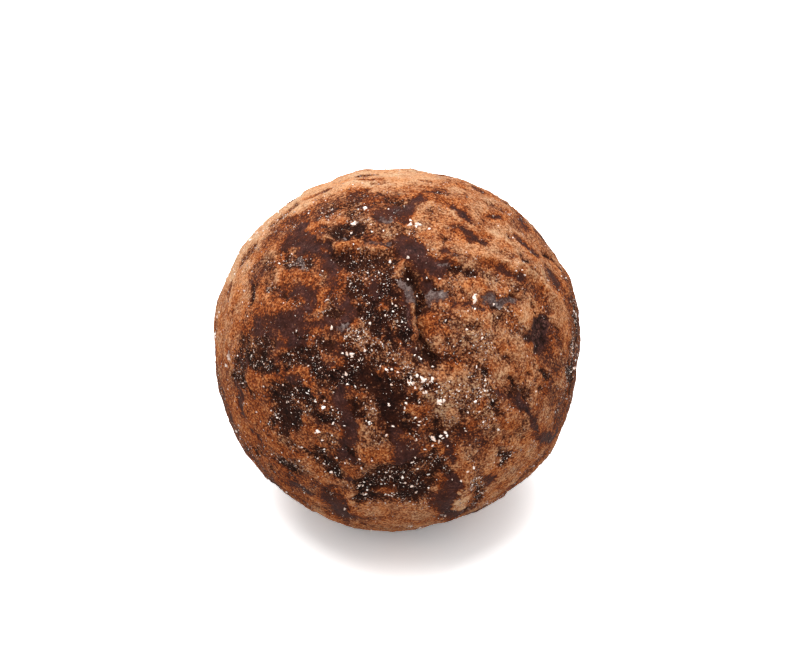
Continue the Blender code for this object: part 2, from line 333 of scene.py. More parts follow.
# %% Marks on the show side: finish, width in degrees, and the run of places
MARKS = (
    # the top and the upper left shoulder
    # pale along the top: pale powder, and painted highlight where the top rim catches the light from above
    ("pale", 12, ((-80, 38), (-68, 50), (-50, 61), (-20, 70), (20, 70))),
    ("pale", 5, ((-64, 39), (-59, 35))),
    ("cocoa", 3, ((-63, 32), (-58, 31))),
    ("dusky", 2.5, ((-57, 34), (-55, 31))),
    ("dusky", 6, ((-53, 43), (-44, 46), (-36, 51), (-28, 54))),
    ("dusky", 12, ((-53, 38), (-42, 38), (-34, 36))),
    ("film", 6, ((-43, 36), (-31, 36))),
    ("film", 4, ((-42, 41), (-35, 41))),
    ("film", 5, ((-43, 33), (-34, 32), (-24, 31))),
    ("mixed", 3, ((-50, 29), (-43, 30), (-38, 31))),
    ("cocoa", 0.9, ((-38, 36), (-34, 39))),
    ("rust", 2.2, ((-32, 38), (-29, 37.5))),
    ("mixed", 5, ((-56, 27), (-45, 27))),
    ("rust", 1.6, ((-28, 65), (-20, 64.5), (-10, 65.5))),
    ("film", 1.2, ((-24, 65), (-14, 65))),
    ("dusky", 6, ((-26, 55), (-17, 55), (-12, 53))),
    ("pale", 3, ((-24, 60), (-10, 60), (4, 62))),
    ("pale", 2.5, ((-13, 57), (-6, 58))),
    ("mixed", 8, ((-28, 47), (-20, 47), (-15, 44))),
    ("film", 1.6, ((-30, 48), (-26, 46))),
    ("pale", 1.2, ((-26, 43.5), (-24, 46.5))),
    ("cocoa", 4.5, ((-36, 41), (-30, 43), (-23, 42))),
    ("pale", 2, ((-33, 43), (-28, 42))),
    ("mixed", 3, ((-28, 38.5), (-22, 38))),
    ("rust", 3, ((-14, 51), (-9, 52), (-5, 52))),
    ("rust", 2.4, ((-13, 47), (-9, 48), (-6, 50))),
    ("film", 1.6, ((-16, 48.5), (-11, 48.8))),
    ("film", 5, ((-9, 45), (-3, 46), (2, 46))),
    ("film", 4, ((-9, 42), (-3, 43), (2, 43))),
    ("bare", 1.6, ((-7, 43.5), (-3, 43), (-1, 45))),
    ("bare", 1.2, ((0, 44), (1, 47))),
    ("cocoa", 2, ((-13, 44), (-11, 42))),
    ("cocoa", 1.4, ((0.3, 44), (1, 42))),
    ("torn", 4.5, ((-21, 38), (-15, 38), (-11, 37))),
    ("torn", 4, ((-21, 34.5), (-16, 35), (-12, 35))),
    ("bare", 1.4, ((-20.5, 33.6), (-17, 34))),
    ("mixed", 6, ((-8, 38), (-1, 37))),
    ("crumbly", 2, ((-13, 40.5), (-10, 40))),
    ("film", 1.6, ((-12, 34), (-8, 35))),
    ("bare", 1.9, ((-11.5, 33.2), (-7, 32.5), (-2.5, 32.5))),
    ("rust", 2, ((-27, 31), (-22, 30.5), (-19, 30.8))),
    ("pit", 1.5, ((-23.5, 33), (-22, 32.3))),
    # The pale and cocoa lines along the crest of the ledge at the top left are partly painted highlight
    # where the crest catches the light from above; the torn band under the ledge is partly painted shade on
    # its lower side.
    ("pale", 1.0, ((-31, 35.3), (-26, 35), (-23, 34), (-21, 32.5))),
    ("cocoa", 1.5, ((-21, 32), (-18, 31.6), (-14, 32.2), (-11, 31.3), (-8, 30.8), (-4, 30.8), (-1, 31.2))),
    ("sugary", 1.4, ((-1.4, 44.4), (0.6, 45))),
    ("rust", 2.6, ((-14.5, 33), (-12.8, 33.5))),
    ("pale", 0.8, ((-18, 32.3), (-14, 33), (-10, 31.6), (-5, 31.2))),
    ("torn", 5, ((-22, 28), (-16, 27.5), (-10, 28))),
    ("mixed", 3, ((-10, 28.7), (-4, 28.7))),
    # film at the top of the split: smeared film, and partly painted shade on the side of a fold
    ("film", 3, ((0.5, 31.5), (2, 34))),
    # the top right
    ("dusky", 2.5, ((20, 66), (26, 67))),
    ("dusky", 1.6, ((14, 62), (17, 61.5))),
    ("dusky", 2.5, ((21, 60), (30, 60))),
    ("cocoa", 7, ((-2, 57), (6, 57), (12, 59))),
    ("rust", 2, ((0, 53), (6, 54), (9, 52.5))),
    ("pit", 0.9, ((-5, 50.6), (-1, 50.2), (4, 50.4), (7, 51))),
    ("pit", 1.0, ((-7, 51), (-4, 52.7))),
    ("pit", 0.8, ((-1, 54.9), (2, 55))),
    ("rust", 1.4, ((3, 57), (12, 57.3))),
    # the film band up to the top right: smeared film, and partly painted shade on the side of the fold that
    # faces away from the light
    ("film", 5, ((3, 42), (4.5, 46), (7, 49))),
    ("film", 3.6, ((7, 48.5), (10, 51), (14, 54), (18, 56.5))),
    ("film", 3, ((17, 56.5), (22, 57.6), (26, 57.3))),
    ("torn", 1.4, ((21, 56), (25, 56.6), (30, 56))),
    ("film", 1.8, ((9, 50), (14, 51.5), (18, 52.7))),
    ("rust", 4, ((17, 54), (23, 52.5), (28, 51))),
    ("cocoa", 4, ((13, 48), (18, 49), (24, 47))),
    ("dusky", 1.5, ((8, 49), (11, 47))),
    ("torn", 2.2, ((1.5, 38), (3, 37), (4, 35.5))),
    ("mixed", 4.5, ((5, 36.5), (8, 35.5))),
    ("crumbly", 2, ((5, 34.2), (8.5, 34))),
    ("cocoa", 5, ((11, 43), (13, 38), (12, 34))),
    ("crumbly", 1.4, ((10, 42), (14, 42))),
    ("mixed", 2.5, ((15.5, 46), (17.5, 43))),
    ("mixed", 1.6, ((19, 46.5), (20, 45))),
    ("cocoa", 6, ((18, 41), (23, 43), (27, 45))),
    ("pale", 2, ((25, 47), (28, 45))),
    ("pit", 1.1, ((16, 36.3), (17, 35.8))),
    ("torn", 2, ((17, 35.6), (19, 34.4))),
    ("mixed", 2, ((20, 36), (22, 33))),
    ("film", 2.6, ((17, 31), (20, 31))),
    ("torn", 1.4, ((19, 29.2), (21, 29))),
    ("pit", 1.3, ((20.5, 39.2), (22.7, 38.2))),
    ("rust", 3, ((23, 37.8), (26, 38))),
    ("film", 2.4, ((24, 40), (28, 39))),
    ("rust", 1.2, ((26, 43), (31, 42.2))),
    ("film", 4.2, ((28.5, 36.5), (30, 35), (33, 33.5))),
    ("torn", 1.6, ((29, 34.5), (33, 32.8))),
    ("film", 2.8, ((28, 49), (30, 47), (32.5, 44.5))),
    ("pit", 0.9, ((34.5, 42.8), (35, 41.8))),
    ("dusky", 1.6, ((35, 41), (34.5, 37))),
    ("film", 2.2, ((41, 45), (44, 44.5), (48, 44))),
    ("dusky", 1.5, ((39, 43.5), (40, 42.8))),
    ("rust", 2.5, ((35, 38), (37, 36))),
    ("cocoa", 7, ((32, 54), (42, 52), (40, 48))),
    ("dusky", 1.6, ((37, 56), (41, 56))),
    ("dusky", 3, ((56, 60), (62, 58))),
    ("cocoa", 5, ((22, 33.5), (27, 32), (33, 30), (40, 31))),
    ("crumbly", 2.2, ((10, 31), (15, 30))),
    ("rust", 1.6, ((17, 27.5), (19, 27.3))),
    ("torn", 0.8, ((23, 27.5), (28, 27.6), (33, 26.8))),
    # the upper right shoulder
    ("dusky", 3.2, ((50, 51), (54, 48.5), (58, 47))),
    ("film", 2.6, ((46.5, 44.8), (51, 44))),
    ("rust", 3, ((53, 43.5), (60, 43))),
    ("dusky", 5, ((58, 41), (66, 42), (71, 44))),
    ("film", 1.6, ((66, 41), (70, 44))),
    ("pit", 1.3, ((47.5, 36.6), (49.5, 36))),
    ("pale", 3, ((40, 38), (44, 36))),
    ("film", 3.2, ((52.5, 36.5), (55.5, 34.5), (60, 31.5))),
    ("torn", 2.4, ((66, 30), (72, 28))),
    ("dusky", 2.5, ((40, 29.5), (44, 28))),
    ("torn", 1.8, ((48, 28.5), (51, 27.5))),
    ("rust", 1.3, ((52.5, 27.8), (54.5, 27))),
    # dusky at the upper right rim: partly painted shade on the rim's shaded side
    ("dusky", 4, ((76, 40), (82, 28))),
    ("mixed", 4, ((-60, 50), (-64, 42))),
    ("dusky", 3.5, ((-48, 60), (-54, 55))),
    ("mixed", 3.5, ((-34, 70), (-22, 73))),
    # the left side, above the middle
    # pale on the upper left rim: pale powder, and painted highlight where the rim catches the light
    ("pale", 9, ((-76, 30), (-72, 22), (-70, 16))),
    ("mixed", 4, ((-66, 34), (-69, 27))),
    ("dusky", 3, ((-70, 20), (-70, 12))),
    ("cocoa", 9, ((-76, 16), (-70, 8), (-64, 2))),
    ("dusky", 4, ((-80, 6), (-79, 0), (-80, -8))),
    ("dusky", 5, ((-56, 26), (-54, 21), (-50, 23))),
    ("mixed", 4, ((-47, 26), (-44, 23))),
    ("torn", 3.6, ((-40, 27.5), (-35, 27), (-31, 26))),
    ("bare", 1.2, ((-39, 28), (-35, 27.6), (-32, 26.6))),
    ("mixed", 3, ((-44, 19), (-38, 18.5))),
    ("rust", 4.6, ((-39, 22.2), (-34, 22.8), (-29, 22))),
    ("rust", 2.6, ((-30, 23), (-26.5, 21.5), (-26, 20.5))),
    ("pale", 1, ((-42, 23.5), (-41.5, 21.5))),
    ("torn", 3, ((-53, 19), (-51.8, 17), (-51.5, 15.5))),
    ("cocoa", 3.5, ((-58, 16), (-55.5, 15))),
    ("rust", 3, ((-47.5, 18), (-46, 16))),
    ("dusky", 5, ((-40, 17), (-33, 17.5))),
    ("film", 3, ((-33, 18), (-28, 17.8))),
    ("torn", 1.6, ((-38, 16.5), (-36, 14.6))),
    ("bare", 0.9, ((-48, 14), (-44, 14))),
    ("rust", 2.6, ((-49, 12.5), (-44, 12), (-39, 12.6))),
    ("rust", 2.4, ((-47, 11), (-43, 11.2))),
    ("rust", 3, ((-38, 12.5), (-34, 12.5))),
    ("torn", 2.2, ((-34, 13.8), (-30, 13.2))),
    ("bare", 1, ((-33, 13.5), (-29.5, 13))),
    ("pale", 1.1, ((-34.5, 12.6), (-32, 11.8), (-29, 10.8))),
    ("rust", 4, ((-55, 7.5), (-49, 7.5))),
    ("mixed", 5, ((-53, 2.5), (-48, 2))),
    ("film", 8, ((-44, 7), (-38, 7), (-32, 7))),
    ("film", 8, ((-40, 4.5), (-32, 4), (-27, 5))),
    ("film", 5, ((-31, 8.5), (-25, 8), (-22, 9))),
    ("torn", 4.5, ((-46, 2), (-40, 2))),
    ("film", 3, ((-35, 4), (-31, 1.8))),
    ("rust", 1.1, ((-38, 5), (-36.4, 3.5), (-35, 2), (-33.6, 0.6))),
    ("rust", 2.6, ((-36.5, -0.5), (-32.5, -0.5))),
    ("rust", 1.6, ((-36, -1.2), (-33, -0.6), (-31, 0.4))),
    ("torn", 1.6, ((-31, 5), (-28.5, 4.2))),
    ("torn", 3.5, ((-31, -1.5), (-27, -1))),
    ("pit", 1, ((-54, 12.5), (-53, 11.6))),
    ("dusky", 1.8, ((-62.5, 13.5), (-62, 11.5))),
    # the middle, above the centre
    ("film", 3.4, ((-26, 28.5), (-24, 27), (-22, 26))),
    ("rust", 1.6, ((-27.5, 28.5), (-26.5, 26), (-26, 25))),
    ("mixed", 2.6, ((-24.5, 23), (-23.5, 20.5))),
    ("film", 4.2, ((-22, 26), (-20.5, 23), (-19.8, 19), (-18.3, 15.5), (-16, 13), (-14.6, 10.8))),
    ("dusky", 3, ((-18, 18.5), (-17, 16))),
    ("film", 4, ((-30, 16.6), (-26, 17), (-24.8, 15))),
    ("rust", 2, ((-31.5, 15.2), (-29, 15))),
    ("film", 3.5, ((-29, 12.6), (-25, 12.6))),
    ("dusky", 2, ((-28.5, 10.6), (-24.5, 10.2))),
    ("rust", 2.3, ((-23.4, 17.8), (-23, 15.5), (-22.8, 13), (-22.8, 12))),
    ("rust", 1.4, ((-24, 17), (-21.5, 18.2))),
    ("crumbly", 1.2, ((-23.4, 10.8), (-21.4, 10.8))),
    ("mixed", 1.8, ((-20, 14), (-19, 12))),
    ("torn", 2.6, ((-20, 11.2), (-17.5, 11))),
    ("rust", 2.6, ((-18, 23.3), (-15.5, 23.2), (-13, 23.8))),
    ("rust", 1.6, ((-17.2, 22), (-16.6, 19.5))),
    ("torn", 5, ((-13, 26), (-7, 25.6), (-3, 26))),
    ("torn", 3.6, ((-11, 23.3), (-6, 23.3), (-3, 22.5))),
    ("mixed", 2, ((-13.5, 22), (-10.5, 21))),
    ("torn", 5.5, ((-14, 19), (-12, 16.5), (-9.5, 16))),
    ("film", 4, ((-8.5, 19.5), (-7, 17), (-5.5, 18))),
    ("mixed", 0.9, ((-9.6, 20.6), (-8.6, 21.8), (-7, 21.7), (-5.8, 20.6))),
    ("torn", 4.5, ((-3.5, 19), (-1, 17.5))),
    ("mixed", 2, ((-2, 19.5), (0, 18), (1, 15.5))),
    ("rust", 2.3, ((-12.6, 14), (-11, 13.9), (-9.4, 14.2))),
    ("crumbly", 1, ((-11.5, 12.8), (-10.5, 12.6))),
    ("torn", 7.5, ((-8, 12), (-3, 12), (0, 9))),
    ("torn", 5, ((-8, 8), (-5, 7.5))),
    ("rust", 1.2, ((-3.6, 14), (-3.4, 12))),
    ("rust", 1.3, ((-5, 12.6), (-4, 12))),
    ("film", 3.2, ((-19, 8), (-16.5, 7.4), (-15, 6))),
    ("bare", 2, ((-16.5, 6.4), (-14.6, 6.6))),
    ("bare", 1, ((-20, 7.4), (-18, 6.8))),
    ("rust", 2.2, ((-12, 9), (-12.5, 7.4), (-13, 6))),
    ("crumbly", 1.4, ((-10.8, 8.6), (-10.2, 6.2))),
    ("rust", 1.9, ((-21.4, 6.4), (-23.2, 6.6), (-25.2, 5.4), (-26, 3), (-25.6, 0.4), (-26, -1.5))),
    ("pit", 3.8, ((-22, 3), (-20.8, 1.8))),
    ("dusky", 2, ((-22, 4.2), (-21, 2.8))),
    ("rust", 2.2, ((-17.4, 4), (-16, 3.2), (-16.4, 2.4))),
    ("crumbly", 4, ((-14, 3.6), (-11, 3), (-9, 4))),
    ("crumbly", 3.5, ((-7, 3.5), (-3, 2))),
    ("rust", 1.3, ((-3.9, 5), (-3.4, 6.4), (-2.2, 7.6), (-0.9, 6.9), (-0.4, 5.6), (-1.2, 4.3))),
    ("pit", 1.1, ((-2, 6.2), (-1.7, 5.6))),
    ("torn", 2, ((-3, 3.3), (-0.8, 3))),
    ("rust", 2, ((0.2, 2.6), (1, 1.6))),
    ("film", 2.6, ((1.5, 17), (3, 14.5), (3.6, 11), (3.4, 7))),
    ("torn", 3.6, ((0.5, 12.5), (1.5, 9), (1.5, 6))),
    # the split and what lies right of it
    ("cocoa", 4, ((0.2, 24), (2, 25), (3.2, 27))),
    ("crumbly", 1.6, ((0, 24.4), (2, 24.2))),
    ("film", 6.5, ((3, 32), (6.5, 31), (9.5, 27.5))),
    ("film", 5, ((8, 29), (11, 26.5), (15, 25.6))),
    ("rust", 0.7, ((5.2, 27.6), (5.5, 25.8), (5.9, 24.3))),
    ("pit", 5, ((4.4, 22.2), (6, 21.6))),
    ("pit", 1.6, ((4.2, 25.4), (4.4, 23.5))),
    ("torn", 3.2, ((5.6, 21.5), (6.6, 18.5), (7, 15.5))),
    ("pit", 2.3, ((7.4, 15), (7.6, 13), (7.5, 11.2), (7.8, 9), (8.1, 6))),
    ("bare", 2.6, ((1.4, 20.4), (2.6, 18.6), (3.8, 16.6), (4.5, 15.4))),
    # cocoa and pale along the left lip of the split: cocoa, and partly painted highlight on the lit lip
    ("cocoa", 2.1, ((5, 14), (5.3, 12), (5.3, 9), (5.1, 6.5), (5.6, 4), (6, 2.8))),
    ("pale", 1.2, ((5.2, 13.6), (5.4, 11), (5.3, 9), (5.2, 6.5))),
    ("bare", 1.1, ((6.3, 11.4), (6.4, 9), (6.6, 7), (7, 5), (7.5, 3.6))),
    ("pit", 0.8, ((7.6, 7), (7.9, 5.4), (8.2, 4.6))),
    ("crumbly", 0.8, ((8, 22), (8.1, 19.5), (8.3, 17))),
    ("film", 3, ((9.3, 23.6), (9.2, 20), (9.4, 17))),
    # film and torn under the rim to the right: smeared and torn chocolate, partly painted shade on the rim's
    # lower side
    ("film", 4, ((11, 24), (15, 24), (19, 24.6))),
    ("bare", 1, ((15, 26.3), (16.2, 25.4))),
    ("torn", 3, ((18, 24.5), (22, 23.8), (25, 24))),
    ("torn", 1.2, ((22.5, 22.6), (26.5, 22.4))),
    # a pale line on the crest of a small ridge, partly painted highlight, and under it a pit that is painted
    # shadow below the ridge, in a shallow dent
    ("pale", 0.9, ((9.6, 23.4), (11, 21.7), (13, 20.9), (14.2, 20))),
    ("pit", 0.9, ((9.8, 21.2), (11.8, 20.3), (14, 19.4))),
    ("bare", 4.4, ((11.2, 17.2), (14, 17))),
    ("torn", 1.2, ((10.6, 19.2), (13, 18.9))),
    ("bare", 2.4, ((10, 17.6), (10.4, 16), (12.6, 16))),
    ("mixed", 4.5, ((17, 22), (17.5, 18), (17, 15.8))),
    ("dusky", 2, ((16.8, 21.6), (17.2, 21.2))),
    ("cocoa", 5.5, ((21, 20), (23, 17.5), (27, 19))),
    ("rust", 2, ((27, 21.5), (28.5, 19))),
    ("pit", 0.9, ((24.4, 19), (25, 18.6), (25.9, 17.3))),
    ("mixed", 1.8, ((20.6, 18.6), (21.6, 17.2))),
    ("pit", 0.9, ((23.2, 16.2), (23.2, 15))),
    ("film", 2.4, ((17, 14.6), (20, 13.8), (23, 13.4))),
    ("bare", 2.2, ((24.4, 12.4), (26, 11.9))),
    ("cocoa", 2.2, ((12.8, 14.2), (15.4, 13.4))),
    ("mixed", 2, ((11, 12.6), (14, 11.6))),
    ("cocoa", 4, ((19, 11.4), (22.5, 11.2), (25, 11))),
    ("rust", 6.4, ((10.4, 8), (12, 7), (14.2, 6.6))),
    ("cocoa", 1.8, ((8.4, 9), (8.6, 6))),
    ("torn", 2, ((14.2, 9.4), (16, 8.8))),
    ("mixed", 3, ((17.6, 10), (18.4, 6.5))),
    ("torn", 2.3, ((21, 7.2), (23.5, 6.6), (26, 7.2))),
    ("crumbly", 2.2, ((23.6, 9), (27, 8.6))),
    ("crumbly", 5.5, ((21, 3.4), (25, 3), (29, 3.4))),
    ("torn", 1.6, ((21.6, 3.2), (24.6, 2.6))),
    ("mixed", 4, ((12.4, 2), (17, 2.6))),
    ("cocoa", 1.8, ((12, 4), (14.6, 1.4))),
    ("cocoa", 3, ((28.4, 9), (30, 8.2))),
    ("pit", 2.4, ((8.6, 3.8), (9.6, 2.2), (9.4, 0.2))),
    ("bare", 1.1, ((6, 1.8), (6.6, 0.6))),
    # the right side, above the middle
    # cocoa and pale along the crest of the rim to the right: cocoa, and partly painted highlight where the
    # crest catches the light from above
    ("cocoa", 3.4, ((32, 28), (38, 27.4), (43, 26), (47, 24), (52, 21.6), (56, 19.4), (59, 17))),
    ("pale", 1.8, ((30, 28), (36, 27.3), (43, 26.4), (47, 24.4))),
    ("pale", 1.4, ((50, 22.6), (55, 20.2), (59, 17.4), (61, 14.6))),
    ("pit", 0.9, ((51.4, 25), (53, 24.2), (55, 23.2))),
    ("rust", 2.4, ((30, 26), (35, 26))),
    # dusky and film under the rim: partly painted shade on its lower side
    ("dusky", 3.6, ((28, 24.6), (35, 24), (41, 23.2))),
    ("film", 2.6, ((36, 24), (40, 23.6), (44, 22.4))),
    ("mixed", 3, ((29, 22), (33, 22))),
    ("torn", 1.7, ((33.2, 20.4), (34.6, 19.4))),
    ("pit", 1.1, ((29.8, 18.6), (32, 18.4))),
    ("cocoa", 3.6, ((33.4, 18.8), (36, 18), (39, 18.6))),
    ("rust", 1.6, ((34, 18), (36, 17.4))),
    ("mixed", 3.4, ((40, 20), (45, 19), (45, 17.4))),
    ("dusky", 4.6, ((46.5, 20), (50, 18), (53, 16.2))),
    ("bare", 3.8, ((29, 15.6), (32.6, 14.8))),
    ("bare", 2.8, ((31, 14.2), (35, 14.1), (38, 14.6))),
    ("bare", 1.6, ((24.6, 12.4), (28, 12.9), (29.4, 12.4), (29.3, 10.8))),
    ("bare", 3.6, ((38.8, 14.8), (41.2, 14.2))),
    ("torn", 1.4, ((30.4, 12.8), (32, 13))),
    ("cocoa", 1.8, ((33.4, 17), (35.6, 16.6))),
    ("pit", 1.1, ((38.2, 16.6), (39.8, 17.1), (41, 16.3), (42.6, 15.3), (43.4, 15.1))),
    ("pit", 0.8, ((45.4, 14.7), (47.6, 13.4), (50, 12.2))),
    ("pale", 0.9, ((45.2, 13.8), (48.2, 12))),
    ("cocoa", 6.6, ((43.4, 12), (44, 10), (43.4, 7.6))),
    ("pale", 2, ((42, 11.5), (42.6, 8.5))),
    ("mixed", 2.4, ((34.4, 12.2), (36, 11.4))),
    ("dusky", 4, ((52, 14), (56.4, 12))),
    ("cocoa", 4, ((59.6, 13.6), (61.6, 9.6))),
    ("peeled", 8.4, ((50, 5.4), (51.6, 3.4))),
    ("peeled", 3.2, ((48, 9.4), (51, 9.6), (54, 8.8))),
    ("peeled", 3.6, ((47, 7.4), (50, 8), (54.4, 7))),
    ("peeled", 3.4, ((48, 2), (49, -0.6))),
    ("peeled", 3, ((53.6, 4), (54.4, 0))),
    ("peeled", 3.2, ((43, 3.8), (46, 3.4))),
    ("torn", 1.4, ((39.4, 3), (42.6, 3.2))),
    ("dusky", 4.6, ((57, 5), (60, 3))),
    ("pit", 1.2, ((58.4, 6.2), (59, 5.6))),
    ("cocoa", 3.4, ((62.6, 3.4), (65, 0.4))),
    ("film", 5, ((63.6, 24.4), (66, 20.4))),
    ("film", 3, ((73, 26), (75, 21))),
    ("dusky", 4, ((68, 17), (71, 13))),
    ("cocoa", 4, ((64, 16), (66, 8), (69, 4))),
    ("mixed", 5, ((33, 9), (37, 8), (39, 6))),
    ("pit", 0.8, ((35.6, 8.9), (36.4, 8.5))),
    ("rust", 1.4, ((36, 7.6), (38, 7.2))),
    ("cocoa", 5, ((33, 2), (38, 1.4), (43, -0.6))),
    ("pit", 0.8, ((37.6, 2.1), (39.2, 2.2))),
    ("torn", 0.9, ((35.4, 2.6), (35.8, 1.6))),
    # dusky and torn down the right rim: partly painted shade on the side of the ball away from the light
    ("dusky", 20, ((82, 14), (78, 5), (76, -6), (76, -16))),
    ("torn", 8, ((75, 12), (72, 4), (71, -4), (72, -13))),
    ("rust", 2, ((70, 9), (70, 3))),
    ("rust", 3, ((71, 12), (73, 5), (71, -3))),
    ("cocoa", 2.6, ((65, 9), (67, 4))),
    ("mixed", 3, ((72, 6), (70, -2))),
    # the left side, below the middle
    ("dusky", 9, ((-80, -4), (-78, -14), (-76, -24), (-74, -32))),
    ("rust", 5, ((-70, -4), (-66, -10), (-65, -16), (-68, -22))),
    ("rust", 3, ((-64, -1), (-66, -8))),
    ("torn", 7, ((-56, -3.5), (-50, -3.5), (-47, -5))),
    ("film", 3, ((-55, -2.5), (-52, -4.5))),
    ("torn", 3.6, ((-60, -8.5), (-55, -9.5), (-52.5, -9))),
    ("film", 3.4, ((-60, -11.5), (-59, -15), (-61, -19))),
    ("rust", 6.5, ((-50, -9), (-46.5, -12.5), (-46, -17), (-49.5, -20))),
    ("rust", 5, ((-52, -17), (-53, -21), (-50, -24))),
    ("torn", 1.8, ((-54, -11), (-51, -12.6), (-48, -13.6))),
    ("rust", 3, ((-46, -8.5), (-43, -9))),
    ("torn", 4, ((-44.5, -1.5), (-42.5, -3.6), (-41, -6.5))),
    ("torn", 3, ((-40, -4), (-38, -6))),
    ("rust", 3, ((-40, -8), (-37.5, -9.2))),
    ("rust", 2.8, ((-36, -6.2), (-32, -6.4), (-28.5, -6))),
    ("film", 2.8, ((-34.5, -8.6), (-31, -8.8))),
    ("torn", 4, ((-34, -3.2), (-31, -2.4), (-28, -3))),
    ("torn", 11, ((-37.5, -15), (-36.6, -19.6))),
    ("torn", 5, ((-40, -13), (-33, -13), (-30, -15))),
    ("pit", 4, ((-39, -18), (-38, -21), (-34, -22))),
    ("mixed", 2.6, ((-33, -15), (-30.6, -16.6))),
    ("rust", 4, ((-36, -26), (-33, -29))),
    ("mixed", 5, ((-46, -26), (-40, -28))),
    ("rust", 2.4, ((-47, -24.6), (-44.4, -27.4))),
    ("film", 3, ((-58, -24.6), (-57, -28), (-57, -31))),
    ("rust", 4, ((-67, -26), (-64, -30))),
    # the middle, below the centre
    ("rust", 3.2, ((-28.6, -6), (-27, -7.4), (-27.4, -9))),
    ("torn", 5, ((-25, -2), (-23.5, -5), (-23, -8))),
    ("torn", 5, ((-20, -7), (-14, -7), (-11, -5))),
    ("mixed", 3.2, ((-25.5, -10), (-20, -9.4))),
    ("rust", 2.6, ((-19.4, -3.8), (-17.4, -3.6), (-15.6, -3.6))),
    ("torn", 4, ((-14, -3), (-11, -3.4), (-8.4, -3))),
    ("mixed", 3.2, ((-7.6, -1.6), (-3, -2), (0, -2.4))),
    ("rust", 1.2, ((-6.4, -4.2), (-6.8, -2.4))),
    ("torn", 7, ((-9.5, -7), (-6, -9.6), (-2, -11))),
    ("pit", 4.4, ((-8, -6.6), (-5.4, -11), (-2, -13))),
    ("rust", 1.3, ((-5.6, -5), (-3.6, -6.1), (-1.4, -6.9), (0.8, -7.6))),
    ("torn", 3, ((2, -10), (2.4, -13))),
    ("rust", 3, ((-27, -10.6), (-26, -13.6))),
    ("film", 3.2, ((-18, -11.8), (-17.2, -14), (-18, -16))),
    ("rust", 2.4, ((-15.6, -11.4), (-12.5, -12.6), (-9.6, -13.6))),
    ("dusky", 2, ((-15, -13.4), (-12, -12))),
    ("rust", 2.6, ((-22.6, -12.4), (-21.4, -14))),
    ("rust", 2.2, ((-25, -17.2), (-21.6, -16.2))),
    ("torn", 3.4, ((-28, -15), (-26.6, -18))),
    ("film", 4.2, ((-17.4, -15), (-15.8, -18.6), (-15.2, -22), (-15.8, -26), (-16.4, -31))),
    ("torn", 4.2, ((-12.6, -16), (-11.6, -19.6))),
    ("mixed", 4.6, ((-8.4, -16), (-6.8, -19))),
    ("pit", 7, ((-2, -15), (-1.6, -19.4), (-2.6, -22.6))),
    ("torn", 3, ((2.6, -15.4), (2.8, -16.8))),
    ("rust", 4, ((-29, -21.6), (-27.6, -23.4))),
    ("torn", 3.2, ((-24, -20), (-20.6, -21.4))),
    ("rust", 2, ((-24.4, -24.4), (-21, -24.6), (-18.6, -24.4))),
    ("rust", 5, ((-31, -26), (-28, -29))),
    ("mixed", 4, ((-24.6, -27.4), (-21, -29))),
    ("rust", 2.6, ((-12.2, -21.4), (-11.8, -23.6))),
    # cocoa along the ridge that runs down to the base; the pale line on its crest is partly painted
    # highlight
    ("cocoa", 2.3, ((-11.4, -22), (-10.9, -25), (-10.6, -27.6), (-11, -30))),
    ("pale", 1.3, ((-10.4, -22.6), (-10, -25), (-9.7, -27.6), (-10.3, -30.4))),
    ("film", 2.4, ((-13.4, -22.6), (-13.2, -25.4), (-13.2, -28))),
    ("torn", 1.8, ((-9, -21.6), (-8.6, -24))),
    ("mixed", 6, ((-6.4, -24.4), (-5.4, -28))),
    ("film", 3.6, ((-1, -25.4), (1.4, -28.6))),
    # the white trail and the gritty side
    ("cocoa", 0.8, ((0.6, -0.6), (2.4, -2.6), (4, -4.6))),
    ("mixed", 3.6, ((1, -3), (2.6, -5.6))),
    ("pit", 3, ((8.4, -0.4), (10.6, -1.2), (12, -2.6))),
    ("torn", 3.4, ((11.6, -2.8), (13, -4.6))),
    ("pit", 1.2, ((13, -1.8), (14.8, -1.6))),
    ("film", 2, ((4, -0.6), (6, -1.2))),
    ("bare", 1.8, ((6.6, -2.4), (7.4, -4.4))),
    ("bare", 1.2, ((4.6, -2.6), (5.6, -3.6))),
    ("cocoa", 5.4, ((14.6, -7), (18, -7), (21.4, -7.4))),
    ("rust", 2.6, ((16, -4), (18, -3.4), (19.8, -4))),
    ("cocoa", 2.2, ((11.4, -7.2), (13.6, -8))),
    ("pit", 1.1, ((15.8, -5.6), (16.8, -6))),
    ("torn", 1.2, ((17, -2.2), (18, -3))),
    ("crumbly", 3.2, ((4, -6.4), (4.4, -9))),
    ("sugary", 2.0, ((3.6, -5.8), (4.6, -8.6), (7, -11.4), (9.6, -13.4), (11.6, -15))),
    ("crumbly", 2.2, ((5.6, -10), (8, -12), (10.6, -14))),
    ("crumbly", 2.6, ((8, -8.6), (10.8, -8.6))),
    ("crumbly", 2.6, ((12, -15), (14, -15.2))),
    ("cocoa", 2.2, ((6.6, -6), (8.6, -6.8))),
    ("torn", 2.1, ((8.8, -10.8), (12, -12))),
    ("torn", 1.5, ((13.6, -11.4), (16.8, -11.4))),
    ("rust", 3, ((4.4, -12), (6.4, -13.6))),
    ("crumbly", 10, ((17, -14), (24, -14), (29, -16))),
    ("crumbly", 6, ((12, -19), (18, -22))),
    ("mixed", 3, ((20.6, -1.6), (22.6, -2.6))),
    ("crumbly", 3, ((25.4, -1.6), (27.4, -2.6))),
    ("torn", 1.9, ((22.6, -7.6), (24.6, -5.8), (27, -5.6))),
    ("torn", 0.9, ((26.8, -6.4), (26.9, -7.4))),
    ("cocoa", 4, ((30, -4), (30.6, -9))),
    ("torn", 2, ((5.6, -14.8), (7, -15.4))),
    ("rust", 3.8, ((3, -18.4), (6, -18.2), (9.4, -16.8))),
    ("torn", 3.6, ((2, -21.4), (4.6, -23.4))),
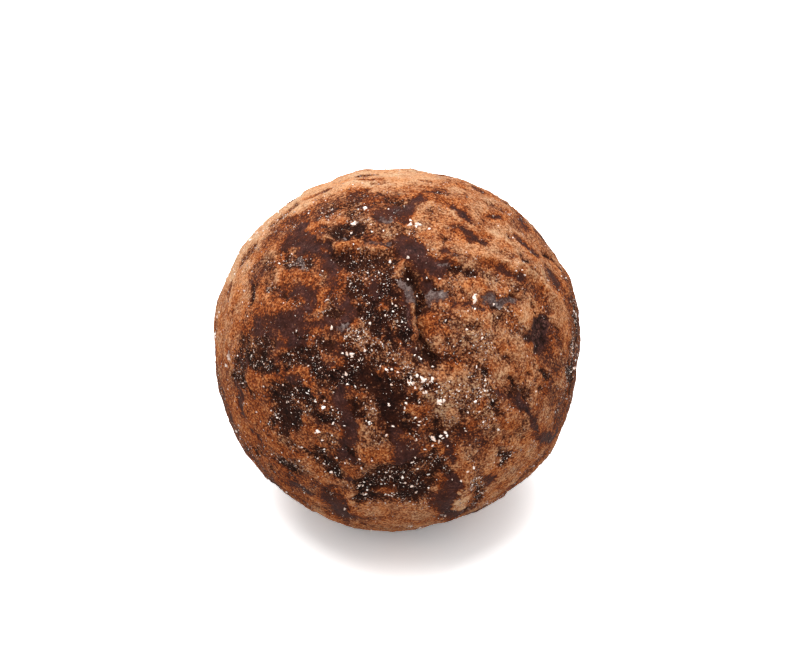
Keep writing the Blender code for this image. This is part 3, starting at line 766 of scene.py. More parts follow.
    ("dusky", 5, ((7.6, -22.6), (9, -27), (4, -28))),
    ("mixed", 3, ((9.6, -21.6), (11.6, -21))),
    ("rust", 1.6, ((9.6, -23), (12, -22.6))),
    ("torn", 3.2, ((13.6, -22.6), (14.8, -25))),
    ("torn", 3.4, ((12, -26.4), (16, -27.4))),
    ("cocoa", 2.8, ((16.4, -18.6), (18.6, -19))),
    ("pit", 0.9, ((20.8, -18.5), (21.5, -18.6))),
    ("rust", 2.3, ((27, -16.2), (27.2, -18))),
    ("rust", 3.6, ((22.8, -21.4), (24.4, -22.8))),
    ("mixed", 3, ((17, -24.4), (20, -24))),
    ("dusky", 4.4, ((22, -27), (26, -26.4), (30, -27.4))),
    ("film", 2.2, ((17.4, -27), (18, -30))),
    # the right side, below the middle
    ("cocoa", 9, ((34, -6), (40, -5), (42, -8))),
    ("dusky", 1.7, ((33.6, -3.3), (36, -3))),
    ("pit", 0.9, ((35.6, -2.8), (36.4, -3.4))),
    ("dusky", 1.6, ((38.6, -4.6), (38, -6.8))),
    ("dusky", 1.6, ((45.6, -3), (46.4, -4.2))),
    ("rust", 3, ((48.6, -2.4), (50.6, -4.6))),
    ("dusky", 6, ((54, -1), (56, -5), (62, -4))),
    ("pit", 0.9, ((43.8, -8), (42.8, -8.6), (42.6, -9.6))),
    ("pit", 0.9, ((46, -6.2), (46.6, -6.6))),
    ("torn", 1.9, ((46.6, -8.2), (47.4, -9.8))),
    ("torn", 2.4, ((50.4, -7.6), (52.6, -8), (55, -8.6))),
    ("torn", 2, ((36, -8.8), (37.6, -9.9), (39.8, -11.3), (42.4, -12.1), (44.6, -12.6))),
    ("pit", 0.8, ((40, -9.9), (42.4, -10.7), (44.6, -12.2))),
    ("cocoa", 1, ((39.6, -10.6), (42, -11.3))),
    ("cocoa", 3.4, ((45.6, -11), (48.4, -12.4))),
    ("pit", 0.9, ((46.6, -13.2), (47.5, -13.4))),
    ("torn", 2.8, ((50.6, -11.6), (52.4, -13.2))),
    ("dusky", 5, ((57, -11), (60, -15))),
    ("cocoa", 2, ((58, -7.6), (59, -9))),
    ("rust", 2.5, ((70, -12), (73, -17))),
    ("torn", 3, ((66, -6), (68, -8.6))),
    ("film", 2.6, ((30.6, -12.6), (34, -14), (38, -14.3))),
    ("film", 3.4, ((38, -14.4), (41.4, -15.3), (44.4, -17.4), (47.4, -19.2), (50, -21.8), (53, -24.6))),
    ("film", 4.4, ((53, -24.6), (58, -26.8), (66, -28), (74, -27.6))),
    ("bare", 0.8, ((35.8, -15.5), (37, -15.8))),
    ("cocoa", 8, ((51, -16), (56, -19), (60, -22))),
    ("dusky", 5, ((64, -14), (67, -20), (70, -24))),
    ("rust", 3, ((52, -14.8), (48.6, -15.6))),
    ("cocoa", 7, ((36, -17.6), (40, -21), (40, -24))),
    ("rust", 3, ((37, -22), (41, -22.6))),
    ("torn", 2.3, ((33.6, -18.6), (35.4, -18.8))),
    ("torn", 2.2, ((31, -15.6), (32.6, -17))),
    ("torn", 1.5, ((33.6, -25.4), (37, -26.8), (40.4, -28.4))),
    ("pit", 0.9, ((37.6, -25.2), (38.6, -25.6))),
    ("rust", 2.8, ((36.4, -27.8), (39, -29.8))),
    ("mixed", 4, ((45, -23), (47, -26))),
    ("cocoa", 4.6, ((50, -26), (54, -29))),
    # low on the left
    ("dusky", 8, ((-74, -34), (-70, -44), (-64, -54))),
    ("rust", 5, ((-66, -36), (-62, -46), (-56, -54))),
    ("torn", 2, ((-66, -31.5), (-65, -34))),
    ("pit", 1.8, ((-62, -32), (-61.4, -34))),
    ("dusky", 5, ((-58, -32), (-54, -34))),
    ("rust", 4, ((-49.5, -32.4), (-46, -33), (-42.6, -33.6))),
    ("rust", 3, ((-40, -32), (-37.6, -34))),
    ("torn", 2, ((-60, -37.4), (-59.4, -40), (-58, -43))),
    ("rust", 3.2, ((-56.6, -37.2), (-54.8, -39.6))),
    ("torn", 3.8, ((-50.6, -36.6), (-47.4, -37.8), (-44.6, -39.4))),
    ("pit", 1.8, ((-47.4, -38.2), (-44.8, -39.4))),
    ("torn", 2.4, ((-48.6, -41.6), (-46, -44))),
    ("rust", 4, ((-57, -41.4), (-53.6, -44.6))),
    ("rust", 2.4, ((-46, -43.4), (-43, -44.8))),
    ("dusky", 5, ((-54, -48), (-46, -48), (-41, -48))),
    ("film", 3, ((-47, -47.6), (-45, -50))),
    ("cocoa", 4, ((-47, -53), (-41, -54))),
    ("mixed", 4, ((-41, -37), (-38, -39))),
    # low in the middle
    ("torn", 2.2, ((-34, -31), (-33, -32.6))),
    ("cocoa", 6, ((-36, -37), (-32, -41), (-25, -43))),
    ("torn", 4, ((-28, -31.4), (-26.4, -33.6), (-25, -36.4), (-24, -39.4))),
    ("mixed", 3, ((-22, -31), (-19.6, -32))),
    ("film", 5, ((-18, -31.6), (-15, -32.4))),
    ("torn", 3, ((-17, -30.4), (-14.4, -31.6))),
    ("rust", 3, ((-20, -36.4), (-18.6, -40))),
    ("rust", 2.6, ((-16, -36.6), (-15.6, -40.4))),
    # cocoa along the ridge; the pale line on its crest is partly painted highlight
    ("cocoa", 2.2, ((-11, -29.6), (-12.2, -33), (-12.6, -36.6), (-13.4, -39), (-16.4, -43), (-17.6, -45.6))),
    ("pale", 1.2, ((-11.2, -30), (-12.1, -33.4), (-12.6, -37))),
    ("torn", 1.6, ((-13.6, -33.4), (-13, -35.6))),
    ("bare", 0.9, ((-12.4, -37.4), (-12.2, -38.6))),
    ("film", 1.7, ((-18.2, -41), (-17.2, -42.6))),
    # cocoa along the ridge; the pale line on its crest is partly painted highlight
    ("cocoa", 2.4, ((-18, -46), (-20.6, -49.6), (-22, -52.6), (-24, -57), (-27, -61))),
    ("pale", 1.2, ((-19.6, -48), (-21.6, -51.6), (-23, -55))),
    ("rust", 7, ((-8.4, -33), (-3, -33))),
    ("mixed", 3, ((-9.6, -38), (-7.6, -36.4))),
    ("torn", 4, ((-5, -37.6), (-1, -38.6))),
    ("torn", 5.6, ((-14.4, -43), (-13, -46.4), (-14, -49))),
    ("torn", 4.6, ((-11.4, -42.6), (-8, -43.6), (-4, -42.4))),
    ("rust", 3, ((-9, -47.4), (-3.6, -47))),
    ("crumbly", 2, ((-5, -49.4), (-1.6, -50), (1, -49.2))),
    ("torn", 2.6, ((-8.4, -51.2), (-6.4, -53), (-3.4, -53.4))),
    ("film", 5, ((-33, -48), (-29, -49))),
    ("film", 8, ((-34, -52), (-31, -56), (-34, -60))),
    ("torn", 3, ((-33, -48.4), (-29.4, -49.4))),
    ("torn", 2.8, ((-18.6, -51.4), (-18.8, -55))),
    ("cocoa", 9, ((-16, -58), (-4, -58), (8, -59), (18, -60))),
    ("cocoa", 7, ((-20, -68), (0, -68), (24, -68))),
    ("rust", 2.4, ((0, -52), (2, -54.6))),
    # low on the right
    ("film", 6, ((1.6, -33), (7, -33.4))),
    ("rust", 3.6, ((10.6, -31), (15, -30.6), (19, -32.6))),
    ("torn", 1.2, ((12.6, -32.6), (17.6, -33.4))),
    ("rust", 1.3, ((12.6, -34.4), (19.4, -34.2))),
    ("film", 2.6, ((17.6, -28), (18.8, -31), (20.6, -33.8))),
    ("cocoa", 4.6, ((23, -30.6), (25, -33), (27, -34))),
    ("crumbly", 2, ((26, -31), (28.4, -33.6))),
    ("cocoa", 4, ((23, -37), (24.6, -40.6))),
    ("rust", 1.6, ((19.4, -36.2), (20, -37))),
    ("rust", 1.6, ((26.4, -35.8), (27.4, -36.4))),
    ("torn", 9, ((5, -41), (9, -45), (7, -49))),
    ("torn", 7, ((8, -38), (14, -38), (16, -40))),
    ("pit", 3.6, ((16, -37.6), (15, -42), (13.6, -46), (9.6, -50))),
    ("mixed", 2.6, ((7, -38.6), (10.4, -38.8))),
    ("rust", 2.8, ((17.8, -41), (18.4, -44))),
    ("cocoa", 2.6, ((15, -46.8), (19.6, -46.4))),
    ("film", 6.6, ((24, -43.6), (25, -48))),
    ("film", 7, ((22, -50.6), (26, -53), (31, -57), (38, -62), (46, -64))),
    # cocoa along the right ridge; the pale line on its crest is partly painted highlight
    ("cocoa", 2.4, ((27.6, -38), (28, -41.6), (29.6, -45.4), (29.6, -48.6))),
    ("pale", 1.3, ((28, -39.6), (28.6, -43), (29.8, -47))),
    ("crumbly", 2.4, ((31.6, -42.4), (32, -44.6))),
    ("crumbly", 4.6, ((36, -42), (40, -43.4), (42, -45.6))),
    ("torn", 2.4, ((36, -44.4), (40, -45.4))),
    ("torn", 4, ((38.6, -47.4), (42.6, -49.4), (46, -52))),
    ("pale", 4, ((33, -51), (35.6, -53.6), (38, -56.6))),
    ("cocoa", 4.6, ((50, -49.6), (54.6, -53.6), (58, -57))),
    ("dusky", 4, ((31, -31), (32.6, -35), (34, -39))),
    ("cocoa", 6, ((37.6, -32.6), (38.6, -37), (40.6, -40))),
    ("torn", 2.8, ((40, -31.6), (42.6, -33.4))),
    ("rust", 2.4, ((44.6, -31.4), (47, -32.4))),
    ("torn", 3.8, ((44.6, -34.2), (43.6, -36.8))),
    ("bare", 0.9, ((47.2, -31.6), (47.6, -32.8))),
    ("rust", 3, ((54.6, -33.2), (53.4, -35.4))),
    ("cocoa", 7, ((56, -34), (58, -40), (56, -46))),
    ("dusky", 2.4, ((62, -30.8), (64.6, -32.8))),
    ("film", 4.4, ((40.6, -41.8), (44.4, -44))),
    ("rust", 3, ((55.4, -45.4), (59, -47.6))),
    ("dusky", 6, ((72, -34), (70, -42), (66, -50))),
)

# %% [markdown]
# ## Marks all round
# The marks on the show side were placed one by one. The back, the sides and the base were made by
# the same hands, so they get marks of the same kinds, drawn at random from the same range of
# lengths and widths. The random numbers start from a fixed seed, so the truffle is the same
# each time. A mark is painted where a point's distance to its run is less than half its width,
# and the points are nudged by noise first, which gives every edge its ragged line.

# %% Paint the marks
EDGE = 1.0  # degrees over which one finish gives way to the next
BROAD_EDGE = 0.30  # the same for a broad mark, as a share of its width
SHOW_EDGE = 84  # degrees from the middle of the show side, where its ground ends
OTHER_MARKS = 900
OTHER_KINDS = (
    # finish, how common, and the least and greatest width in degrees
    ("cocoa", 26, 1.2, 6.0),
    ("rust", 18, 1.2, 4.0),
    ("pale", 9, 0.8, 3.0),
    ("film", 18, 1.5, 5.0),
    ("dusky", 12, 1.5, 5.0),
    ("torn", 22, 1.0, 5.0),
    ("mixed", 12, 2.0, 6.0),
    ("crumbly", 5, 1.0, 3.0),
    ("bare", 3, 0.8, 2.4),
    ("pit", 3, 0.8, 1.8),
)


def noise_field(size, seed, octaves=3):
    """Noise over the coat with lumps of a size in millimetres, with a spread of 1 about 0."""
    scale = radius / MM / size
    shift = Vector((seed * 7.3, seed * 3.1, seed * 5.7))
    values = [noise.fractal(Vector(way) * scale + shift, 1.0, 2.0, octaves) for way in ways]
    return (np.array(values) - np.mean(values)) / np.std(values)


def run_through(places):
    """A fine line through directions on the ball, by Catmull-Rom interpolation."""
    ends = [2 * places[0] - places[1], *places, 2 * places[-1] - places[-2]]
    run = []
    for a, b, c, d in zip(ends, ends[1:], ends[2:], ends[3:]):
        for t in (0.0, 0.25, 0.5, 0.75):
            bend = (2 * a - 5 * b + 4 * c - d) * t**2 + (3 * b - a - 3 * c + d) * t**3
            run.append(0.5 * (2 * b + (c - a) * t + bend))
    run.append(places[-1])
    return np.array([p / np.linalg.norm(p) for p in run])


def distance_to(run, near):
    """The angle in degrees from each of some points to the nearest place on a run."""
    best = np.full(len(near), np.inf)
    for start, end in zip(run, run[1:]):
        piece = end - start
        t = np.clip((near - start) @ piece / (piece @ piece), 0, 1)
        best = np.minimum(best, np.linalg.norm(near - start - t[:, None] * piece, axis=1))
    return np.degrees(best)


def soft_step(x):
    """0 below -1, 1 above 1, and a smooth rise between."""
    t = np.clip(x / 2 + 0.5, 0, 1)
    return t * t * (3 - 2 * t)


warp = np.column_stack(
    [
        0.006 * noise_field(2.6, seed) + 0.009 * noise_field(0.8, seed + 3)
        for seed in (1, 2, 3)
    ]
)
nudged = ways + warp
paint = np.tile(np.array(FINISHES["cocoa"]), (len(ways), 1))


def brush(finish, weight, rows=slice(None)):
    """Lays a finish over what is there, by a weight from 0 to 1 at each point."""
    weight = weight[:, None]
    paint[rows] = paint[rows] * (1 - weight) + np.array(FINISHES[finish]) * weight


def brush_run(finish, width, places):
    """Lays a finish along a run of directions on the ball."""
    run = run_through(places)
    centre = run.mean(axis=0)
    span = np.degrees(np.linalg.norm(run - centre, axis=1).max()) + width + 4
    rows = np.nonzero(ways @ (centre / np.linalg.norm(centre)) > math.cos(math.radians(span)))[0]
    edge = max(EDGE, BROAD_EDGE * width)
    weight = soft_step((width / 2 - distance_to(run, nudged[rows])) / edge)
    brush(finish, weight, rows)


draw = random.Random(5)
brush("mixed", soft_step(noise_field(9.0, 21) * 2 - 0.2))
brush("dusky", soft_step(noise_field(4.0, 22) * 2 - 0.9))
for _ in range(OTHER_MARKS):
    kind, _, thinnest, widest = draw.choices(OTHER_KINDS, [row[1] for row in OTHER_KINDS])[0]
    here = np.array([draw.gauss(0, 1) for _ in range(3)])
    here /= np.linalg.norm(here)
    side = np.cross(here, [draw.gauss(0, 1) for _ in range(3)])
    side /= np.linalg.norm(side)
    places = [here]
    for _ in range(draw.randint(1, 4)):
        side = side + np.cross(here, side) * draw.uniform(-0.5, 0.5)
        here = here + draw.uniform(0.04, 0.14) * side / np.linalg.norm(side)
        here = here / np.linalg.norm(here)
        places.append(here)
    brush_run(kind, draw.uniform(thinnest, widest), places)
show_angle = np.degrees(np.arccos(np.clip(nudged @ show_out, -1, 1)))
on_show = soft_step((SHOW_EDGE - show_angle) / 4)
for finish, east, north, half_width in GROUND:
    angle = np.degrees(np.arccos(np.clip(nudged @ place(east, north), -1, 1)))
    brush(finish, on_show * soft_step((half_width - angle) / (0.3 * half_width)))
for finish, width, run in MARKS:
    brush_run(finish, width, [place(*spot) for spot in run])
field = dict(zip(FIELDS, paint.T.copy()))
lumpy = 0.05 * noise_field(3.4, 40, 2) + 0.05 * noise_field(1.2, 41) + 0.06 * noise_field(0.45, 42, 2)
field["powder"] += field["grit"] * lumpy
field["pale"] += 0.12 * noise_field(1.4, 43)
print(f"marks: {len(MARKS)} on the show side, {OTHER_MARKS} all round")

# %% [markdown]
# ## Relief
# Chocolate that is smeared stands a little proud of what it was smeared over, torn places lie
# lower and are rough, and powder cakes into small lumps. All of that is real shape here, worked
# into the mesh, because it must also show at the rim of the ball and in other light. Only grain
# finer than the mesh is left to the material.

# %% Raise the relief
RIDGES = (
    # height in mm, width in degrees, run: first the ledge at the top left and the hollow below it
    (0.24, 1.0, ((-31, 35.3), (-26, 35), (-21, 32), (-14, 32.2), (-8, 30.8), (-1, 31.2))),
    (-0.16, 1.6, ((-26, 32), (-20, 28.6), (-14, 28.8), (-8, 28), (-2, 28))),
    # the split down the middle and its left lip
    (-0.60, 1.4, ((4.4, 25.4), (5, 22), (7.3, 15), (7, 11), (8.2, 4.6), (9.4, 0.2), (13, -4.6))),
    (0.30, 1.1, ((1.4, 20.4), (4.5, 15.4), (5.3, 9), (6, 2.8))),
    # the rim to the right of it, and the cracks under that
    (0.30, 1.6, ((18, 28), (32, 28), (43, 26), (52, 21.6), (61, 14.6))),
    (-0.30, 0.9, ((38.2, 16.6), (39.8, 17.1), (43.4, 15.1))),
    (-0.20, 0.9, ((45.4, 14.7), (50, 12.2))),
    # the two ridges that run down to the base
    (0.30, 1.3, ((-12.2, -21), (-10.4, -27.6), (-12.4, -37), (-16.5, -43), (-21.6, -51), (-24, -57))),
    (0.30, 1.5, ((27, -36), (28.5, -42), (29.4, -49))),
    # small strokes
    (-0.15, 1.0, ((36, -8.8), (39.8, -11.3), (44.6, -12.6))),
    (0.14, 0.9, ((-5.6, -5), (-1.4, -6.9), (0.8, -7.6))),
    (0.14, 0.9, ((9.6, 23.4), (11, 21.7), (14.2, 20))),
)
relief = smoothed(field["lift"], 2)
relief += 0.12 * soft_step(field["powder"] * 2 - 0.6)
relief += field["lumps"] * (0.4 * noise_field(0.9, 31) + 0.7 * noise_field(0.42, 32, 2))
relief += 0.050 * noise_field(3.2, 33, 2) + 0.022 * noise_field(1.3, 34, 2)
for height, width, run in RIDGES:
    angle = distance_to(run_through([place(*spot) for spot in run]), nudged)
    relief += height * np.exp(-((angle / width) ** 2))
reach += relief * MM
surface = np.array(middle) + ways * reach[:, None]
surface[:, 2] = np.maximum(surface[:, 2], 0.0)
coat_mesh.vertices.foreach_set("co", surface.ravel())
coat_mesh.update()
coat_mesh.shade_smooth()
PAINTED = ("powder", "grit", "film", "bare", "pale")
for name in PAINTED:
    attribute = coat_mesh.attributes.new(name, "FLOAT", "POINT")
    attribute.data.foreach_set("value", field[name].astype(np.float32))
coat = bpy.data.objects.new("truffle_coat", coat_mesh)
bpy.context.scene.collection.objects.link(coat)
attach(coat, "root")
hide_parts("truffle")
print(f"relief: {relief.min():.2f} to {relief.max():.2f} mm")

# %% [markdown]
# ## Dark chocolate under cocoa powder
# Dark couverture, melted and smeared by hand, sets with a satin skin: brown with a purple cast.
# Where it tore it is nearly black and rough. Where its fat came to the surface it is bloomed
# grey. Cocoa powder, pressed on while the coat was wet, cakes to a dead matt orange brown.
# The material starts from three textures at real sizes: clumps of powder, its grain, and a tone
# that each grain has of its own. A dot product adds them up in any proportion with one node.

# %% Textures of the coat, each about zero
CLUMP_MM = 0.50
GRAIN_MM = 0.17  # caked powder, drawn a little coarser than the real grains so that it shows
TONE_MM = 0.13  # single grains, drawn coarser too
PATCH_MM = 1.8

coat_material, nodes, shader = new_material("dark_chocolate_under_cocoa", 0.9)
place_m = add(nodes, "ShaderNodeTexCoord").outputs["Object"]
place_mm = add(nodes, "ShaderNodeVectorMath", {0: place_m, "Scale": 1 / MM}, operation="SCALE")
noises = {}
for name, size in (("patches", PATCH_MM), ("clumps", CLUMP_MM), ("grains", GRAIN_MM)):
    settings = {"Vector": place_mm, "Scale": 1 / size, "Detail": 4.0, "Roughness": 0.7}
    noises[name] = add(nodes, "ShaderNodeTexNoise", settings)
cells = add(nodes, "ShaderNodeTexVoronoi", {"Vector": place_mm, "Scale": 1 / TONE_MM})
tones = add(nodes, "ShaderNodeSeparateColor", {0: cells.outputs["Color"]})
parts = add(nodes, "ShaderNodeCombineXYZ", {0: noises["clumps"], 1: noises["grains"], 2: tones})
textures = add(nodes, "ShaderNodeVectorMath", {0: parts, 1: (0.5, 0.5, 0.5)}, operation="SUBTRACT")

# %% Mixtures of clumps, grain and tone
MIXTURES = {
    "rubble": (0.40, 1.40, 0.30),
    "powder_shade": (-0.10, 1.10, 0.34),
    "torn_shade": (0.60, 1.60, 0.50),
    "film_shade": (1.00, 1.40, 0.20),
    "ragged": (0.90, 1.00, 0.15),
}
mixed = {
    name: add(nodes, "ShaderNodeVectorMath", {0: textures, 1: shares}, operation="DOT_PRODUCT")
    for name, shares in MIXTURES.items()
}
painted = {name: add(nodes, "ShaderNodeAttribute", attribute_name=name).outputs["Fac"] for name in PAINTED}

# %% [markdown]
# ## Where each finish shows
# The painted fields say how much of a finish there is. Adding a texture before cutting off at a
# level makes the edge of a patch break up into grains, as real powder does, where a plain blend
# would look airbrushed. One loop cuts off all three fields.

# %% Cut-offs
thickness = add(
    nodes,
    "ShaderNodeMath",
    {0: mixed["rubble"], 1: painted["grit"], 2: painted["powder"]},
    operation="MULTIPLY_ADD",
)
ragged = {
    name: add(nodes, "ShaderNodeMath", {0: painted[name], 1: mixed["ragged"]}, operation="ADD")
    for name in ("film", "bare")
}
CUT_OFFS = {
    # what is cut off, from where to where
    "powder": (thickness, 0.10, 0.34),
    "film": (ragged["film"], 0.38, 0.62),
    "bare": (ragged["bare"], 0.32, 0.48),
}
shows = {
    name: add(
        nodes,
        "ShaderNodeMapRange",
        {"Value": value, "From Min": low, "From Max": high},
        interpolation_type="SMOOTHSTEP",
    )
    for name, (value, low, high) in CUT_OFFS.items()
}
hue_parts = {0: noises["patches"], 1: tones.outputs["Green"], 2: painted["pale"]}
hues = add(nodes, "ShaderNodeCombineXYZ", hue_parts)
pale_sum = add(nodes, "ShaderNodeVectorMath", {0: hues, 1: (1.5, 0.3, 1.0)}, operation="DOT_PRODUCT")
paleness = add(nodes, "ShaderNodeMapRange", {"Value": pale_sum, "From Min": 0.96, "From Max": 1.80})
torn_depth = add(
    nodes,
    "ShaderNodeMath",
    {0: mixed["torn_shade"], 1: painted["grit"], 2: 0.5},
    operation="MULTIPLY_ADD",
)
veil = add(
    nodes,
    "ShaderNodeMapRange",
    {"Value": painted["powder"], "From Min": -0.12, "From Max": 0.50, "To Max": 0.85},
)

# %% Colours from dark to light
powder_depth = add(nodes, "ShaderNodeMath", {0: thickness, 1: mixed["powder_shade"]}, operation="ADD")
skin_depth = add(
    nodes,
    "ShaderNodeMath",
    {0: noises["patches"], 1: 0.9, 2: mixed["film_shade"]},
    operation="MULTIPLY_ADD",
)
SHADES = {
    "rust": (powder_depth, ((0.05, "#3c1b0e"), (0.30, "#783517"), (0.55, "#ac582a"), (1.0, "#e0945a"))),
    "gold": (powder_depth, ((0.05, "#46271c"), (0.30, "#84543e"), (0.55, "#b07a54"), (1.0, "#e2ba94"))),
    "film": (skin_depth, ((0.15, "#1a0f0e"), (0.42, "#2e1b19"), (0.62, "#432825"), (0.90, "#745046"))),
    "bare": (skin_depth, ((0.20, "#302624"), (0.45, "#524644"), (0.60, "#72645f"), (0.85, "#958680"))),
    "torn": (torn_depth, ((0.35, "#120706"), (0.60, "#28130e"), (0.85, "#4e2c22"), (1.0, "#a07c70"))),
}
colours = {}
for name, (value, stops) in SHADES.items():
    ramp = add(nodes, "ShaderNodeValToRGB", {"Fac": value})
    for position, code in stops[:-2]:
        ramp.color_ramp.elements.new(position)
    for element, (position, code) in zip(ramp.color_ramp.elements, stops):
        element.position = position
        element.color = linear(code)
    colours[name] = ramp

# %% Lay one finish over another
LAYERS = (
    # what is new, what lies under it, what goes over it, and where it shows
    ("powder", "rust", "gold", paleness),
    ("skin", "torn", "film", shows["film"]),
    ("bloomed", "skin", "bare", shows["bare"]),
    ("veiled", "bloomed", "dust", veil),
    ("coat", "veiled", "powder", shows["powder"]),
)
colours["dust"] = linear("#5e2a16")
for name, under, over, where in LAYERS:
    inputs = {"Factor": where, "A": colours[under], "B": colours[over]}
    colours[name] = add(nodes, "ShaderNodeMix", inputs, data_type="RGBA")

# %% [markdown]
# ## Gloss and fine relief
# Powder is dead matt, torn chocolate is rough, and the smeared film and the bare skin keep a dull
# satin. The fine relief is in millimetres: the cake of powder stands on the skin, and each
# grain in it stands up or lies low.

# %% Roughness and bump
CAKE_MM = 0.16
GRIT_MM = 0.14
satin = add(nodes, "ShaderNodeMath", {0: shows["film"], 1: shows["bare"]}, operation="MAXIMUM")
uncovered = add(nodes, "ShaderNodeMath", {0: 1.0, 1: shows["powder"]}, operation="SUBTRACT")
smooth = add(nodes, "ShaderNodeMath", {0: satin, 1: uncovered}, operation="MULTIPLY")
roughness = add(nodes, "ShaderNodeMapRange", {"Value": smooth, "To Min": 0.85, "To Max": 0.62})
cake = add(nodes, "ShaderNodeMapRange", {"Value": thickness, "To Max": CAKE_MM})
rough_part = add(nodes, "ShaderNodeMapRange", {"Value": smooth, "To Min": GRIT_MM, "To Max": 0.01})
grit = add(nodes, "ShaderNodeMath", {0: mixed["rubble"], 1: rough_part}, operation="MULTIPLY")
height = add(nodes, "ShaderNodeMath", {0: cake, 1: grit}, operation="ADD")
bump = add(nodes, "ShaderNodeBump", {"Height": height, "Distance": MM, "Strength": 1.0})
for value, socket in ((colours["coat"], "Base Color"), (roughness, "Roughness"), (bump, "Normal")):
    nodes.links.new(in_use(value.outputs), shader.inputs[socket])
shader.inputs["IOR"].default_value = 1.45
shader.inputs["Specular IOR Level"].default_value = 0.05
shader.inputs["Sheen Weight"].default_value = 0.03
shader.inputs["Sheen Roughness"].default_value = 0.45
shader.inputs["Sheen Tint"].default_value = linear("#f0c8a0")
coat_mesh.materials.clear()
coat_mesh.materials.append(coat_material)

# %% [markdown]
# ## Sugar
# Grains of sugar stuck to the coat catch the light as white points. Each is a small convex
# crystal. A convex hull round a few random points gives a different chunky grain each time, and
# a few such grains, turned and resized, serve thousands of places. They are written into one
# mesh, because thousands of separate objects would be slow to show and to export.

# %% Sugar grains
def convex_grain(corner_count, seed):
    """The corners and triangles of a convex grain about one unit across."""
    pick = random.Random(seed)
    shape = bmesh.new()
    for _ in range(corner_count):
        shape.verts.new(Vector([pick.gauss(0, 1) for _ in range(3)]).normalized() * 0.5)
    bmesh.ops.convex_hull(shape, input=shape.verts[:])
    bmesh.ops.recalc_face_normals(shape, faces=shape.faces[:])
    shape.verts.index_update()
    places = np.array([v.co[:] for v in shape.verts])
    faces = np.array([[v.index for v in f.verts] for f in shape.faces])
    shape.free()
    return places, faces


normals = np.empty(len(ways) * 3, dtype=np.float32)
coat_mesh.vertex_normals.foreach_get("vector", normals)
normals = normals.reshape(-1, 3).astype(float)
SCATTER = 0.08 * MM  # how far a grain strays from its place, so that no grid of points shows


def scatter(name, grains_at, shapes, material):
    """One mesh of many grains. Each has a place, a normal, three sizes in mm and how deep it sits."""
    pick = random.Random(len(grains_at))
    all_places, all_faces, all_spots, count = [], [], [], 0
    columns = math.ceil(math.sqrt(len(grains_at)))
    for number, (spot, normal, sizes, sunk) in enumerate(grains_at):
        places, faces = shapes[pick.randrange(len(shapes))]
        shift = np.cross(normal, [pick.gauss(0, SCATTER) for _ in range(3)])
        turn = Vector(normal).to_track_quat("Z", "Y").to_matrix() @ Matrix.Rotation(
            pick.uniform(0, 2 * math.pi), 3, "Z"
        )
        tilt = Matrix.Rotation(pick.uniform(-0.5, 0.5), 3, "X") @ Matrix.Rotation(
            pick.uniform(-0.5, 0.5), 3, "Y"
        )
        local = (places * np.array(sizes) * MM) @ np.array(turn @ tilt).T
        centre = np.array(spot) + shift + np.array(normal) * (0.5 - sunk) * sizes[2] * MM
        all_places.append(local + centre)
        all_faces.append(faces + count)
        all_spots.append((places[:, :2] * 0.9 + 0.5 + (number % columns, number // columns)) / columns)
        count += len(places)
    mesh = bpy.data.meshes.new(name)
    mesh.from_pydata(np.concatenate(all_places), [], np.concatenate(all_faces).tolist())
    mesh.materials.append(material)
    spots = np.concatenate(all_spots)[np.concatenate(all_faces).ravel()]
    mesh.uv_layers.new(name="OFBake").data.foreach_set("uv", spots.ravel())
    piece = bpy.data.objects.new(name, mesh)
    bpy.context.scene.collection.objects.link(piece)
    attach(piece, "root")
    print(f"{name}: {len(grains_at)} grains, {len(mesh.polygons)} triangles")


def grain_material(name, roughness, darkest, lightest):
    """A material with cells of different tones, so that neighbouring grains differ."""
    material, nodes, shader = new_material(name, roughness)
    place_m = add(nodes, "ShaderNodeTexCoord").outputs["Object"]
    cells = add(nodes, "ShaderNodeTexVoronoi", {"Vector": place_m, "Scale": 1 / (GRAIN_CELL_MM * MM)})
    tone = add(nodes, "ShaderNodeSeparateColor", {0: cells.outputs["Color"]})
    ends = {"Factor": tone, "A": linear(darkest), "B": linear(lightest)}
    tint = add(nodes, "ShaderNodeMix", ends, data_type="RGBA")
    nodes.links.new(in_use(tint.outputs), shader.inputs["Base Color"])
    return material


GRAIN_CELL_MM = 0.35
sugar_material = grain_material("sugar_crystal", 0.35, "#e6c4b0", "#fff6ee")
dusted_material = grain_material("sugar_dusted_with_cocoa", 0.6, "#6e4836", "#dcc4b4")

